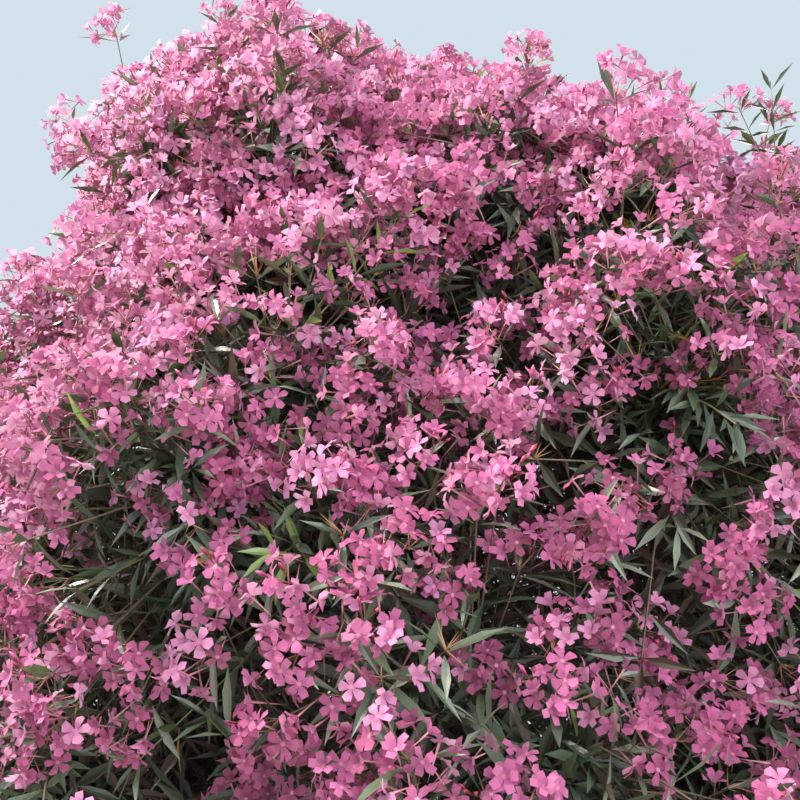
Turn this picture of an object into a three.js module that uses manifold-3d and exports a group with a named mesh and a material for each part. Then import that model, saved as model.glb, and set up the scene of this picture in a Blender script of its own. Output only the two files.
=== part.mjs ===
// A large oleander in a plain clay pot, in full flower.
// Millimetres, +Z up. The origin is the centre of the pot's flat underside, and the plant's
// front, the side that is seen most, faces -Y.
//
// Seven stems rise from the soil as one clump. Each carries a skirt, a belt and a shoulder mass
// of foliage on boughs of their own, and four of them also carry the dome on top.

import * as THREE from 'three';
import { mergeVertices } from 'three/addons/utils/BufferGeometryUtils.js';
import Module from 'manifold-3d';

const wasm = await Module();
wasm.setup();

// Clear gap between two solids that meet
const GAP = 0.3;

// Pot: a plain tapered body with a thick band for a rim
const POT = {
  height: 640,
  baseRadius: 290,
  rimRadius: 400,
  wall: 26,
  floor: 36,
  bandHeight: 84,
  bandOut: 20,
  lip: 10,
  sides: 28,
};
const SOIL_BELOW_RIM = 56;
const SOIL_CROWN = 14;
const SOIL_FLAT_RADIUS = 190;
const SOIL_TOP = POT.height - SOIL_BELOW_RIM;

// Stems: a clump from one root, each leaning out to its own side
const STEMS = {
  count: 7,
  phase: 13,
  footRing: 104,
  footStagger: 16,
  forkRing: 330,
  forkHeight: 1160,
  forkStagger: 70,
  footRadius: 27,
  forkRadius: 19,
  flare: 11,
  flareReach: 0.07,
  sides: 6,
  steps: 6,
};

// Tiers of foliage: each is a ring of rounded masses about a point of the plan, every second one
// of them lifted and the others lowered by the stagger
const TIERS = [
  { name: 'skirt', centre: [0, 0], height: 1560, ring: 930, count: 7, phase: 13, radius: 470, rise: 460, stagger: 40 },
  { name: 'belt', centre: [0, 0], height: 2160, ring: 1010, count: 7, phase: -13, radius: 490, rise: 490, stagger: 90 },
  { name: 'shoulder', centre: [-20, 0], height: 2790, ring: 780, count: 7, phase: 33, radius: 460, rise: 460, stagger: 50 },
  { name: 'dome', centre: [-470, -150], height: 3350, ring: 330, count: 4, phase: 12, radius: 420, rise: 450, stagger: 0 },
];

// Lobes swell a tier towards one side: angles in degrees, offsets in millimetres
const LOBES = [
  { tier: 'shoulder', towards: 187, spread: 45, outward: 150, upward: -80 },
  { tier: 'shoulder', towards: 239, spread: 45, outward: 80, upward: 30 },
  { tier: 'shoulder', towards: 290, spread: 45, outward: 20, upward: 100 },
  { tier: 'shoulder', towards: 342, spread: 45, outward: 220, upward: 150 },
  { tier: 'dome', towards: 12, spread: 60, outward: 210, upward: -40 },
  { tier: 'dome', towards: 192, spread: 60, outward: 30, upward: 150 },
  { tier: 'dome', towards: 282, spread: 60, outward: 40, upward: -90 },
];

// Boughs: where each leaves its stem, as a share of the stem's length, and how it sets off:
// towards its mass, back across the clump, and up
const BOUGHS = {
  skirt: { leaves: 0.8, towards: 1, back: 0, up: 0.55, footRadius: 13, tipRadius: 7.5 },
  belt: { leaves: 0.91, towards: 0.75, back: 0, up: 0.9, footRadius: 14, tipRadius: 7.5 },
  shoulder: { leaves: 0.985, towards: 0.2, back: 0, up: 1, footRadius: 15, tipRadius: 7.5 },
  dome: { leaves: 0.86, towards: 0.4, back: 0.5, up: 1, footRadius: 14, tipRadius: 7.5 },
};
const BOUGH_SIDES = 5;
const BOUGH_STEPS = 4;
const BOUGH_ENTERS = 0.16;

// What grows inside a mass: twigs of three sides, leaves in whorls of three, blossoms at the tips
const TWIGS = { perMass: 7, footRadius: 5.2, tipRadius: 3.6, reach: 0.97, least: 0.4 };
const MASS_STEM_TIP = 4.6;
const LEAF = { length: 320, width: 70, widest: 0.44, root: 9, ridge: 7, lift: 0.5, droop: 0.13 };
const BLOSSOM = { radius: 118, notch: 0.58, depth: 0.42, throat: 0.3, petals: 5 };
const WHORLS_WITH_BLOSSOM = [0.66];
const WHORLS_ON_LEAFY_TWIG = [0.45, 0.92];
const CELL_CLEAR = 2;
const LIMB_CLEAR = 3;
const FIT_SIZES = [1, 0.82, 0.66];
const GOLDEN_TURN = Math.PI * (3 - Math.sqrt(5));
const UP = new THREE.Vector3(0, 0, 1);

const MATERIALS = {
  pot: new THREE.MeshStandardMaterial({ color: 0xa9684a, roughness: 0.85, metalness: 0 }),
  soil: new THREE.MeshStandardMaterial({ color: 0x3a2b21, roughness: 1, metalness: 0 }),
  bark: new THREE.MeshStandardMaterial({ color: 0x7d6f5f, roughness: 0.9, metalness: 0 }),
  foliage: new THREE.MeshStandardMaterial({ color: 0xc77f9c, roughness: 0.6, metalness: 0 }),
};

/** Repeatable numbers from 0 to 1, so that the plant grows the same way every time. */
function seeded(seed) {
  let state = seed >>> 0;
  return () => {
    state = (Math.imul(state, 1664525) + 1013904223) >>> 0;
    return state / 4294967296;
  };
}

/** A closed solid from corner points and outward triangles. */
function solidOf(points, faces) {
  const vertProperties = new Float32Array(points.flatMap((point) => point.toArray()));
  return new wasm.Manifold(new wasm.Mesh({ numProp: 3, vertProperties, triVerts: new Uint32Array(faces.flat()) }));
}

/** A three.js geometry as a solid. */
function solidOfGeometry(geometry) {
  const plain = geometry.clone();
  plain.deleteAttribute('normal');
  plain.deleteAttribute('uv');
  const merged = mergeVertices(plain, 1e-3);
  const vertProperties = new Float32Array(merged.attributes.position.array);
  return new wasm.Manifold(new wasm.Mesh({ numProp: 3, vertProperties, triVerts: new Uint32Array(merged.index.array) }));
}

/** A solid as a named mesh of the object. */
function meshOf(name, solid, material) {
  const { vertProperties, triVerts } = solid.getMesh();
  const geometry = new THREE.BufferGeometry();
  geometry.setAttribute('position', new THREE.BufferAttribute(vertProperties, 3));
  geometry.setIndex(new THREE.BufferAttribute(triVerts, 1));
  geometry.computeVertexNormals();
  const mesh = new THREE.Mesh(geometry, material);
  mesh.name = name;
  return mesh;
}

/** A direction in the plan, from an angle in radians. */
function heading(angle) {
  return new THREE.Vector3(Math.cos(angle), Math.sin(angle), 0);
}

/** A centre line that leaves one point along a direction and arrives at another along a second one. */
function route(from, leave, to, arrive, slack = 0.36) {
  const pull = from.distanceTo(to) * slack;
  return new THREE.CubicBezierCurve3(
    from.clone(),
    from.clone().addScaledVector(leave, pull),
    to.clone().addScaledVector(arrive, -pull),
    to.clone(),
  );
}

/** Two unit directions square to an axis and to each other. */
function squareTo(axis) {
  const aside = Math.abs(axis.z) < 0.9 ? UP : new THREE.Vector3(1, 0, 0);
  const first = new THREE.Vector3().crossVectors(aside, axis).normalize();
  return [first, new THREE.Vector3().crossVectors(axis, first).normalize()];
}

/** A ring of corners square to a centre line, its first corner carried on from the ring before it. */
function ringAt(line, share, radius, sides, before, shift = 0) {
  const way = line.getTangentAt(share);
  const centre = line.getPointAt(share).addScaledVector(way, shift);
  const first = before ? before.first.clone().projectOnPlane(way).normalize() : squareTo(way)[0];
  const second = new THREE.Vector3().crossVectors(way, first);
  const corners = Array.from({ length: sides }, (_, i) => {
    const turn = (2 * Math.PI * i) / sides;
    return centre
      .clone()
      .addScaledVector(first, radius * Math.cos(turn))
      .addScaledVector(second, radius * Math.sin(turn));
  });
  return { way, centre, first, corners };
}

/** A point in the middle of a limb, on the straight piece between two of its rings. */
function pointOn({ line, steps }, share) {
  const piece = Math.min(Math.floor(share * steps), steps - 1);
  const start = line.getPointAt(piece / steps);
  return start.lerp(line.getPointAt((piece + 1) / steps), share * steps - piece);
}

/** A closed skin that is built up from rings of corners, one above the other. */
class Skin {
  constructor(ring) {
    this.points = [];
    this.faces = [];
    this.sides = ring.corners.length;
    this.top = this.addPoints(ring.corners);
    for (let i = 1; i < this.sides - 1; i++) {
      this.faces.push([this.top[0], this.top[i + 1], this.top[i]]);
    }
  }

  addPoints(points) {
    points.forEach((point) => this.points.push(point));
    return points.map((_, i) => this.points.length - points.length + i);
  }

  /** Joins a new ring to the last one. A side that draws its own faces returns true from drawSide. */
  addRing(ring, drawSide = () => false) {
    const next = this.addPoints(ring.corners);
    for (let i = 0; i < this.sides; i++) {
      const j = (i + 1) % this.sides;
      const corners = [this.top[i], this.top[j], next[j], next[i]];
      if (!drawSide(corners, i)) {
        this.faces.push([corners[0], corners[1], corners[2]], [corners[0], corners[2], corners[3]]);
      }
    }
    this.top = next;
  }

  closeFlat() {
    for (let i = 1; i < this.sides - 1; i++) {
      this.faces.push([this.top[0], this.top[i], this.top[i + 1]]);
    }
  }

  solid() {
    return solidOf(this.points, this.faces);
  }
}

/** A limb with flat ends along a centre line. Growing it moves every face out by that much. */
function limbSolid({ line, radiusAt, sides, steps }, grow = 0) {
  const spare = grow / Math.cos(Math.PI / sides);
  let ring = ringAt(line, 0, radiusAt(0) + spare, sides, null, -grow);
  const skin = new Skin(ring);
  for (let i = 1; i <= steps; i++) {
    ring = ringAt(line, i / steps, radiusAt(i / steps) + spare, sides, ring, i === steps ? grow : 0);
    skin.addRing(ring);
  }
  skin.closeFlat();
  return skin.solid();
}

/** The corners of a lance-shaped leaf that grows outward from one side of a twig. */
function leafCorners(root, way, outward, size) {
  const length = LEAF.length * size;
  const sideways = new THREE.Vector3().crossVectors(way, outward).normalize();
  const along = outward.clone().multiplyScalar(Math.cos(LEAF.lift)).addScaledVector(way, Math.sin(LEAF.lift));
  const face = new THREE.Vector3().crossVectors(along, sideways).normalize();
  const middle = root.clone().addScaledVector(along, length * LEAF.widest);
  return {
    left: middle.clone().addScaledVector(sideways, (-LEAF.width * size) / 2),
    right: middle.clone().addScaledVector(sideways, (LEAF.width * size) / 2),
    ridge: middle.clone().addScaledVector(face, LEAF.ridge),
    tip: root.clone().addScaledVector(along, length).addScaledVector(UP, -LEAF.droop * length),
  };
}

/** Draws a leaf out of one side of a twig, between the four corners of that side. */
function drawLeaf(skin, [lowLeft, lowRight, highRight, highLeft], corners) {
  const [left, right, ridge, tip] = skin.addPoints([corners.left, corners.right, corners.ridge, corners.tip]);
  skin.faces.push(
    [highLeft, ridge, highRight],
    [highLeft, left, ridge],
    [highRight, ridge, right],
    [left, tip, ridge],
    [ridge, tip, right],
    [lowLeft, lowRight, right],
    [lowLeft, right, left],
    [left, right, tip],
    [lowLeft, left, highLeft],
    [lowRight, highRight, right],
  );
}

/** The rim of a five-petalled blossom over a twig's end ring, and the sunk middle of its funnel. */
function blossomCorners(ring, size) {
  const radius = BLOSSOM.radius * size;
  const second = new THREE.Vector3().crossVectors(ring.way, ring.first);
  const rim = Array.from({ length: BLOSSOM.petals * 2 }, (_, i) => {
    const turn = (Math.PI * i) / BLOSSOM.petals;
    const isTip = i % 2 === 0;
    const out = radius * (isTip ? 1 : BLOSSOM.notch);
    return ring.centre
      .clone()
      .addScaledVector(ring.first, out * Math.cos(turn))
      .addScaledVector(second, out * Math.sin(turn))
      .addScaledVector(ring.way, radius * BLOSSOM.depth * (isTip ? 1 : 0.8));
  });
  return { rim, throat: ring.centre.clone().addScaledVector(ring.way, radius * BLOSSOM.depth * BLOSSOM.throat) };
}

/** Opens a blossom from a twig's last ring, in place of a flat end. */
function drawBlossom(skin, { rim, throat }) {
  const edge = skin.addPoints(rim);
  const [middle] = skin.addPoints([throat]);
  const cornerFor = (i) => Math.floor((i * skin.sides) / edge.length);
  edge.forEach((here, i) => {
    const next = edge[(i + 1) % edge.length];
    const corner = skin.top[cornerFor(i)];
    skin.faces.push([middle, here, next], [corner, next, here]);
    const following = skin.top[cornerFor(i + 1) % skin.sides];
    if (following !== corner) skin.faces.push([corner, following, next]);
  });
}

/** How far a lobe's swelling counts at an angle, from 1 at its middle to 0 at its edge. */
function swell(degrees, lobe) {
  const off = ((((degrees - lobe.towards + 180) % 360) + 360) % 360) - 180;
  return Math.abs(off) < lobe.spread ? 0.5 + 0.5 * Math.cos((Math.PI * off) / lobe.spread) : 0;
}

/** The rounded space of every mass of foliage, tier by tier. */
function massSpaces() {
  return TIERS.flatMap((tier) =>
    Array.from({ length: tier.count }, (_, index) => {
      const degrees = tier.phase + (360 * index) / tier.count;
      const lobes = LOBES.filter((lobe) => lobe.tier === tier.name);
      const outward = lobes.reduce((sum, lobe) => sum + lobe.outward * swell(degrees, lobe), 0);
      const lifted = index % 2 === 0 ? tier.stagger : -tier.stagger;
      const upward = lobes.reduce((sum, lobe) => sum + lobe.upward * swell(degrees, lobe), lifted);
      const centre = heading(THREE.MathUtils.degToRad(degrees)).multiplyScalar(tier.ring + outward);
      centre.add(new THREE.Vector3(tier.centre[0], tier.centre[1], tier.height + upward));
      return { tier: tier.name, index, centre, radius: tier.radius, rise: tier.rise };
    }),
  );
}

/** The planes that part one mass's space from its neighbours', as points to stay behind. */
function partingPlanes(space, spaces) {
  return spaces
    .filter((other) => other !== space)
    .map((other) => {
      const towards = other.centre.clone().sub(space.centre);
      return { towards: towards.clone().normalize(), limit: towards.length() / 2 - CELL_CLEAR };
    });
}

/** Whether a point lies in a mass's own space, with a little room on every side. */
function isInside(space, point) {
  const off = point.clone().sub(space.centre);
  const round = (off.x / space.radius) ** 2 + (off.y / space.radius) ** 2 + (off.z / space.rise) ** 2;
  return round <= 1 && space.planes.every((plane) => off.dot(plane.towards) < plane.limit);
}

/** The stems of the clump, as limbs from a flat cut on the soil to their forks. */
function stemLimbs(random) {
  return Array.from({ length: STEMS.count }, (_, index) => {
    const angle = THREE.MathUtils.degToRad(STEMS.phase + (360 * index) / STEMS.count);
    const stagger = index % 2 === 0 ? 1 : -1;
    const foot = heading(angle).multiplyScalar(STEMS.footRing + stagger * STEMS.footStagger);
    foot.z = SOIL_TOP + GAP;
    const fork = heading(angle + (random() - 0.5) * 0.16).multiplyScalar(STEMS.forkRing + stagger * STEMS.footStagger);
    fork.z = STEMS.forkHeight + (random() - 0.5) * 2 * STEMS.forkStagger;
    const arrive = heading(angle).multiplyScalar(0.42).add(UP).normalize();
    const radiusAt = (share) =>
      THREE.MathUtils.lerp(STEMS.footRadius, STEMS.forkRadius, share) + STEMS.flare * Math.exp(-share / STEMS.flareReach);
    return { angle, line: route(foot, UP, fork, arrive, 0.4), radiusAt, sides: STEMS.sides, steps: STEMS.steps };
  });
}

/** The stem that carries a mass: its own number in the rings, and the nearest in bearing for the dome. */
function stemNumberFor(space, taken) {
  if (space.tier !== 'dome') return space.index;
  const bearing = Math.atan2(space.centre.y, space.centre.x);
  const apart = (angle) => Math.abs(Math.atan2(Math.sin(angle - bearing), Math.cos(angle - bearing)));
  const order = Array.from({ length: STEMS.count }, (_, i) => i).sort(
    (a, b) =>
      apart(THREE.MathUtils.degToRad(STEMS.phase + (360 * a) / STEMS.count)) -
      apart(THREE.MathUtils.degToRad(STEMS.phase + (360 * b) / STEMS.count)),
  );
  return order.find((number) => !taken.has(number));
}

/** The bough from a stem to the point where it enters a mass. */
function boughLimb(space, stem) {
  const habit = BOUGHS[space.tier];
  const from = pointOn(stem, habit.leaves);
  const leave = new THREE.Vector3(space.centre.x - from.x, space.centre.y - from.y, 0)
    .normalize()
    .multiplyScalar(habit.towards)
    .addScaledVector(heading(stem.angle), -habit.back)
    .addScaledVector(UP, habit.up)
    .normalize();
  const below = space.centre.clone().addScaledVector(UP, -space.rise * 0.55).sub(from).normalize();
  const arrive = below.clone().addScaledVector(UP, 0.35).normalize();
  const depth = (1 - BOUGH_ENTERS) * Math.hypot(space.radius * Math.hypot(arrive.x, arrive.y), space.rise * arrive.z);
  const to = space.centre.clone().addScaledVector(arrive, -depth);
  const radiusAt = (share) => THREE.MathUtils.lerp(habit.footRadius, habit.tipRadius, share ** 0.8);
  return { line: route(from, leave, to, arrive), arrive, radiusAt, sides: BOUGH_SIDES, steps: BOUGH_STEPS };
}

/** Straight pieces of a limb, with their radius, to keep twigs and leaves clear of. */
function limbStretches({ line, radiusAt, steps }) {
  const pieces = steps * 2;
  return Array.from({ length: pieces }, (_, i) => ({
    line: new THREE.Line3(line.getPointAt(i / pieces), line.getPointAt((i + 1) / pieces)),
    radius: radiusAt(i / pieces),
  }));
}

/** The least distance between two straight pieces, found by stepping along the first. */
function distanceBetween(first, second) {
  const steps = 10;
  const nearest = new THREE.Vector3();
  const point = new THREE.Vector3();
  let least = Infinity;
  for (let i = 0; i <= steps; i++) {
    first.at(i / steps, point);
    second.closestPointToPoint(point, true, nearest);
    least = Math.min(least, nearest.distanceTo(point));
  }
  return least;
}

/** Whether every straight piece stays clear of the limbs by its own half width. */
function isClearOfLimbs(pieces, stretches) {
  return pieces.every(({ line, halfWidth }) =>
    stretches.every((stretch) => distanceBetween(line, stretch.line) > stretch.radius + halfWidth + LIMB_CLEAR),
  );
}

/** The largest size at which a shape's corners stay in the mass's space and clear of the limbs. */
function fitted(room, from, cornersAt, halfWidth) {
  for (const size of FIT_SIZES) {
    const corners = cornersAt(size);
    const points = Object.values(corners).flat();
    const pieces = points.map((point) => ({ line: new THREE.Line3(from, point), halfWidth }));
    if (points.every((point) => isInside(room.space, point)) && isClearOfLimbs(pieces, room.stretches)) {
      return corners;
    }
  }
  return null;
}

/** A twig with its whorls of leaves and, unless it is a leafy one, a blossom at its end. */
function twigSolid(room, { line, radiusAt }, isLeafy) {
  const length = line.getLength();
  let ring = ringAt(line, 0, radiusAt(0), 3, null);
  const skin = new Skin(ring);
  for (const share of isLeafy ? WHORLS_ON_LEAFY_TWIG : WHORLS_WITH_BLOSSOM) {
    const half = LEAF.root / 2 / length;
    ring = ringAt(line, share - half, radiusAt(share), 3, ring);
    skin.addRing(ring);
    ring = ringAt(line, share + half, radiusAt(share), 3, ring);
    skin.addRing(ring, (corners, side) => {
      const outward = ring.first.clone().applyAxisAngle(ring.way, (Math.PI * (2 * side + 1)) / 3);
      const root = ring.centre.clone().addScaledVector(outward, radiusAt(share) / 2);
      const leaf = fitted(room, root, (size) => leafCorners(root, ring.way, outward, size), LEAF.width / 6);
      if (leaf) drawLeaf(skin, corners, leaf);
      return leaf !== null;
    });
  }
  ring = ringAt(line, 1, radiusAt(1), 3, ring);
  skin.addRing(ring);
  const blossom = isLeafy ? null : fitted(room, ring.centre, (size) => blossomCorners(ring, size), 8);
  if (blossom) {
    drawBlossom(skin, blossom);
  } else {
    skin.closeFlat();
  }
  return skin.solid();
}

/** A twig's course from the mass's stem, as long as its space allows, or null where a limb is in the way. */
function twigTowards({ space, stretches }, from, stemWay, way) {
  const leave = way.clone().addScaledVector(stemWay, 0.5).normalize();
  for (let reach = TWIGS.reach; reach > TWIGS.least; reach -= 0.08) {
    const spread = new THREE.Vector3(way.x * space.radius, way.y * space.radius, way.z * space.rise);
    const to = space.centre.clone().addScaledVector(spread, reach);
    const arrive = to.clone().sub(from).normalize().addScaledVector(way, 0.6).normalize();
    if (to.distanceTo(from) < 110 || !isInside(space, to.clone().addScaledVector(way, 30))) continue;
    const line = route(from, leave, to, arrive, 0.3);
    const pieces = [0, 0.5].map((share) => ({
      line: new THREE.Line3(line.getPointAt(share), line.getPointAt(share + 0.5)),
      halfWidth: TWIGS.footRadius,
    }));
    if (isClearOfLimbs(pieces, stretches)) {
      return { line, radiusAt: (share) => THREE.MathUtils.lerp(TWIGS.footRadius, TWIGS.tipRadius, share) };
    }
  }
  return null;
}

/** One mass of foliage: a stem that goes on from the bough's tip, and twigs all round it. */
function foliageMass(room, bough, random) {
  const { space } = room;
  const from = bough.line.getPointAt(1).addScaledVector(bough.arrive, GAP);
  const outFromPlant = new THREE.Vector3(space.centre.x, space.centre.y, 0).normalize();
  const stemTop = space.centre.clone().addScaledVector(outFromPlant, space.radius * 0.12);
  stemTop.z += space.rise * 0.3;
  const stem = {
    line: route(from, bough.arrive, stemTop, UP.clone().addScaledVector(outFromPlant, 0.3).normalize()),
    radiusAt: (share) => THREE.MathUtils.lerp(bough.radiusAt(1), MASS_STEM_TIP, share),
    sides: 3,
    steps: 3,
  };
  let mass = limbSolid(stem);
  const startTurn = random() * 2 * Math.PI;
  for (let i = 0; i < TWIGS.perMass; i++) {
    const share = (i + 0.5) / TWIGS.perMass;
    const onStem = 0.22 + 0.76 * share;
    const rises = THREE.MathUtils.lerp(-0.55, 0.92, share);
    const way = heading(startTurn + GOLDEN_TURN * i)
      .multiplyScalar(Math.sqrt(1 - rises * rises))
      .addScaledVector(UP, rises)
      .addScaledVector(outFromPlant, 0.35)
      .normalize();
    const twig = twigTowards(room, pointOn(stem, onStem), stem.line.getTangentAt(onStem), way);
    if (twig) mass = mass.add(twigSolid(room, twig, i % 4 === 2));
  }
  return mass;
}

/** The pot, turned about the upright axis, with a flat underside and no hole in it. */
function potSolid() {
  const { height, baseRadius, rimRadius, wall, floor, bandHeight, bandOut, lip, sides } = POT;
  const bodyRadiusAt = (z) => THREE.MathUtils.lerp(baseRadius, rimRadius - bandOut, z / height);
  const band = height - bandHeight;
  const profile = [
    new THREE.Vector2(0, 0),
    new THREE.Vector2(baseRadius, 0),
    new THREE.Vector2(bodyRadiusAt(band), band),
    new THREE.Vector2(rimRadius - lip / 2, band + lip),
    new THREE.Vector2(rimRadius, height - lip),
    new THREE.Vector2(rimRadius - lip, height),
    new THREE.Vector2(bodyRadiusAt(height) - wall + lip / 2, height),
    new THREE.Vector2(bodyRadiusAt(height) - wall, height - lip),
    new THREE.Vector2(bodyRadiusAt(floor) - wall, floor),
    new THREE.Vector2(0, floor),
  ];
  return solidOfGeometry(uprightLathe(profile, sides));
}

/** The soil that fills the pot, a little higher in the middle, clear of the wall by the gap. */
function soilSolid() {
  const { height, baseRadius, rimRadius, wall, floor, bandOut, sides } = POT;
  const room = wall + GAP / Math.cos(Math.PI / sides) + 0.1;
  const innerRadiusAt = (z) => THREE.MathUtils.lerp(baseRadius, rimRadius - bandOut, z / height) - room;
  const bottom = floor + GAP;
  const edge = SOIL_TOP - SOIL_CROWN;
  const profile = [
    new THREE.Vector2(0, bottom),
    new THREE.Vector2(innerRadiusAt(bottom), bottom),
    new THREE.Vector2(innerRadiusAt(edge), edge),
    new THREE.Vector2(SOIL_FLAT_RADIUS, SOIL_TOP),
    new THREE.Vector2(0, SOIL_TOP),
  ];
  return solidOfGeometry(uprightLathe(profile, sides));
}

/** A profile of radius and height turned about +Z. */
function uprightLathe(profile, sides) {
  return new THREE.LatheGeometry(profile, sides).rotateX(Math.PI / 2);
}

const random = seeded(20261);
const spaces = massSpaces();
for (const space of spaces) {
  space.planes = partingPlanes(space, spaces);
}

const stems = stemLimbs(random);
const domeStems = new Set();
const boughs = spaces.map((space) => {
  const number = stemNumberFor(space, domeStems);
  if (space.tier === 'dome') domeStems.add(number);
  return { space, number, ...boughLimb(space, stems[number]) };
});

const plant = new THREE.Group();
plant.add(meshOf('pot', potSolid(), MATERIALS.pot));
plant.add(meshOf('soil', soilSolid(), MATERIALS.soil));
stems.forEach((stem, index) => {
  plant.add(meshOf(`stem_${index + 1}`, limbSolid(stem), MATERIALS.bark));
});

// A bough's foot is cut to fit its stem, and to fit the boughs that leave the same stem before it
const placed = [];
for (const bough of boughs) {
  let solid = limbSolid(bough).subtract(limbSolid(stems[bough.number], GAP));
  for (const other of placed.filter((earlier) => earlier.number === bough.number)) {
    solid = solid.subtract(limbSolid(other, GAP));
  }
  placed.push(bough);
  plant.add(meshOf(`bough_${bough.space.tier}_${bough.space.index + 1}`, solid, MATERIALS.bark));
}

const stretches = [...stems, ...boughs].flatMap((limb) => limbStretches(limb).map((stretch) => ({ ...stretch, limb })));
for (const bough of boughs) {
  const mass = foliageMass({ space: bough.space, stretches }, bough, random);
  plant.add(meshOf(`foliage_${bough.space.tier}_${bough.space.index + 1}`, mass, MATERIALS.foliage));
}

export default plant;
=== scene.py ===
"""A large oleander in a plain clay pot, in full flower, in a pale studio.

The crown grows by the rule of the part's source: seven stems, a bough to every mass of foliage,
and in each mass a stem and seven twigs. Here that rule is carried on to several thousand shoots,
with whorls of narrow leaves and heads of single pink flowers. Metres, +Z up, front at -Y.
"""

from __future__ import annotations

import bisect
import logging
import math
from collections.abc import Callable, Iterable, Iterator, Sequence
from dataclasses import dataclass, field
from enum import Enum

import bpy
import numpy as np
from bpy.types import Material, Node, NodeSocket, NodeTree, Object
from mathutils import Matrix, Vector, noise

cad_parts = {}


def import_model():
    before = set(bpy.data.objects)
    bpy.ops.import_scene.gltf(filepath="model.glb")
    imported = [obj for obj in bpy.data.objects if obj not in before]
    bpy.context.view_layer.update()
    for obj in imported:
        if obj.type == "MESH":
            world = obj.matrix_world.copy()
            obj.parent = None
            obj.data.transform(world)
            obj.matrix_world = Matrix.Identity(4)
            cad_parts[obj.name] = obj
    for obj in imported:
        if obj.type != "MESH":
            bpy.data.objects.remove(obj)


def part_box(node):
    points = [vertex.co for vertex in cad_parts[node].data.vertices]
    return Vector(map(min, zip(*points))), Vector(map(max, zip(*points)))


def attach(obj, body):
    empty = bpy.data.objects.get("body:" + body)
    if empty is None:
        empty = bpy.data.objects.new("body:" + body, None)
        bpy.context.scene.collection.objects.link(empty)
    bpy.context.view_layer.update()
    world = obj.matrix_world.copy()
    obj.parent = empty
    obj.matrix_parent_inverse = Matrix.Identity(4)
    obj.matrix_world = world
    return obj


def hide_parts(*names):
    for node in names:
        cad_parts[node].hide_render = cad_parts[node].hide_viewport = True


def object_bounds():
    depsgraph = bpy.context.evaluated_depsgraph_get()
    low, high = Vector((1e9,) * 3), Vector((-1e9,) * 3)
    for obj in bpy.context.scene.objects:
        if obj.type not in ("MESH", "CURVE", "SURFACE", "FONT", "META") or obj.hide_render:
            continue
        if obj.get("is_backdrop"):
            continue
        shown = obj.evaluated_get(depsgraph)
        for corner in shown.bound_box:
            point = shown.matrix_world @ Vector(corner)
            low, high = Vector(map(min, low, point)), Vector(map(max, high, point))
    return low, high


log = logging.getLogger("oleander")

UP = Vector((0.0, 0.0, 1.0))
FULL_TURN = 2.0 * math.pi
GOLDEN_TURN = math.pi * (3.0 - math.sqrt(5.0))
ROOT_BODY = "root"


# Numbers, directions and centre lines


class RepeatableNumbers:
    """Numbers that look random and are the same every time."""

    def __init__(self, seed: int) -> None:
        """Start the row of numbers that a seed picks."""
        self._state = seed & 0xFFFFFFFF

    def next(self) -> float:
        """Return the next number, from 0 to 1."""
        self._state = (self._state * 1664525 + 1013904223) & 0xFFFFFFFF
        return self._state / 4294967296.0

    def between(self, low: float, high: float) -> float:
        """Return the next number, spread from low to high."""
        return low + (high - low) * self.next()

    def pick(self, weights: Sequence[float]) -> int:
        """Pick an index by weight.

        Args:
            weights: the weight of each index.

        Returns:
            The index.
        """
        left = self.next() * sum(weights)
        for index, weight in enumerate(weights):
            left -= weight
            if left < 0.0:
                return index
        return len(weights) - 1

    def offset(self, size: float) -> Vector:
        """Return a random offset, up to a size along each axis."""
        return Vector([self.between(-size, size) for _ in range(3)])


def heading(angle: float) -> Vector:
    """Return the level direction at an angle in radians."""
    return Vector((math.cos(angle), math.sin(angle), 0.0))


def ring_turns(sides: int) -> list[float]:
    """Return the angles of a ring's corners."""
    return [FULL_TURN * j / sides for j in range(sides)]


def mix(low: float, high: float, share: float) -> float:
    """Return the value a share of the way from low to high."""
    return low + (high - low) * share


def even_directions(count: int, turn: float = 0.0) -> Iterator[Vector]:
    """Yield unit directions that are spread evenly all around.

    Args:
        count: how many there are.
        turn: the angle by which they are turned.
    """
    for index in range(count):
        height = 1.0 - 2.0 * (index + 0.5) / count
        yield heading(GOLDEN_TURN * index + turn) * math.sqrt(1.0 - height * height) + UP * height


def square_to(axis: Vector, hint: Vector) -> tuple[Vector, Vector]:
    """Find two unit directions square to an axis and to each other.

    Args:
        axis: a unit direction.
        hint: the direction that the second one should lean to.

    Returns:
        The first and the second direction, which with the axis turn the right-handed way.
    """
    first = hint.cross(axis)
    if first.length < 1e-4:
        first = axis.orthogonal()
    first.normalize()
    return first, axis.cross(first)


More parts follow.
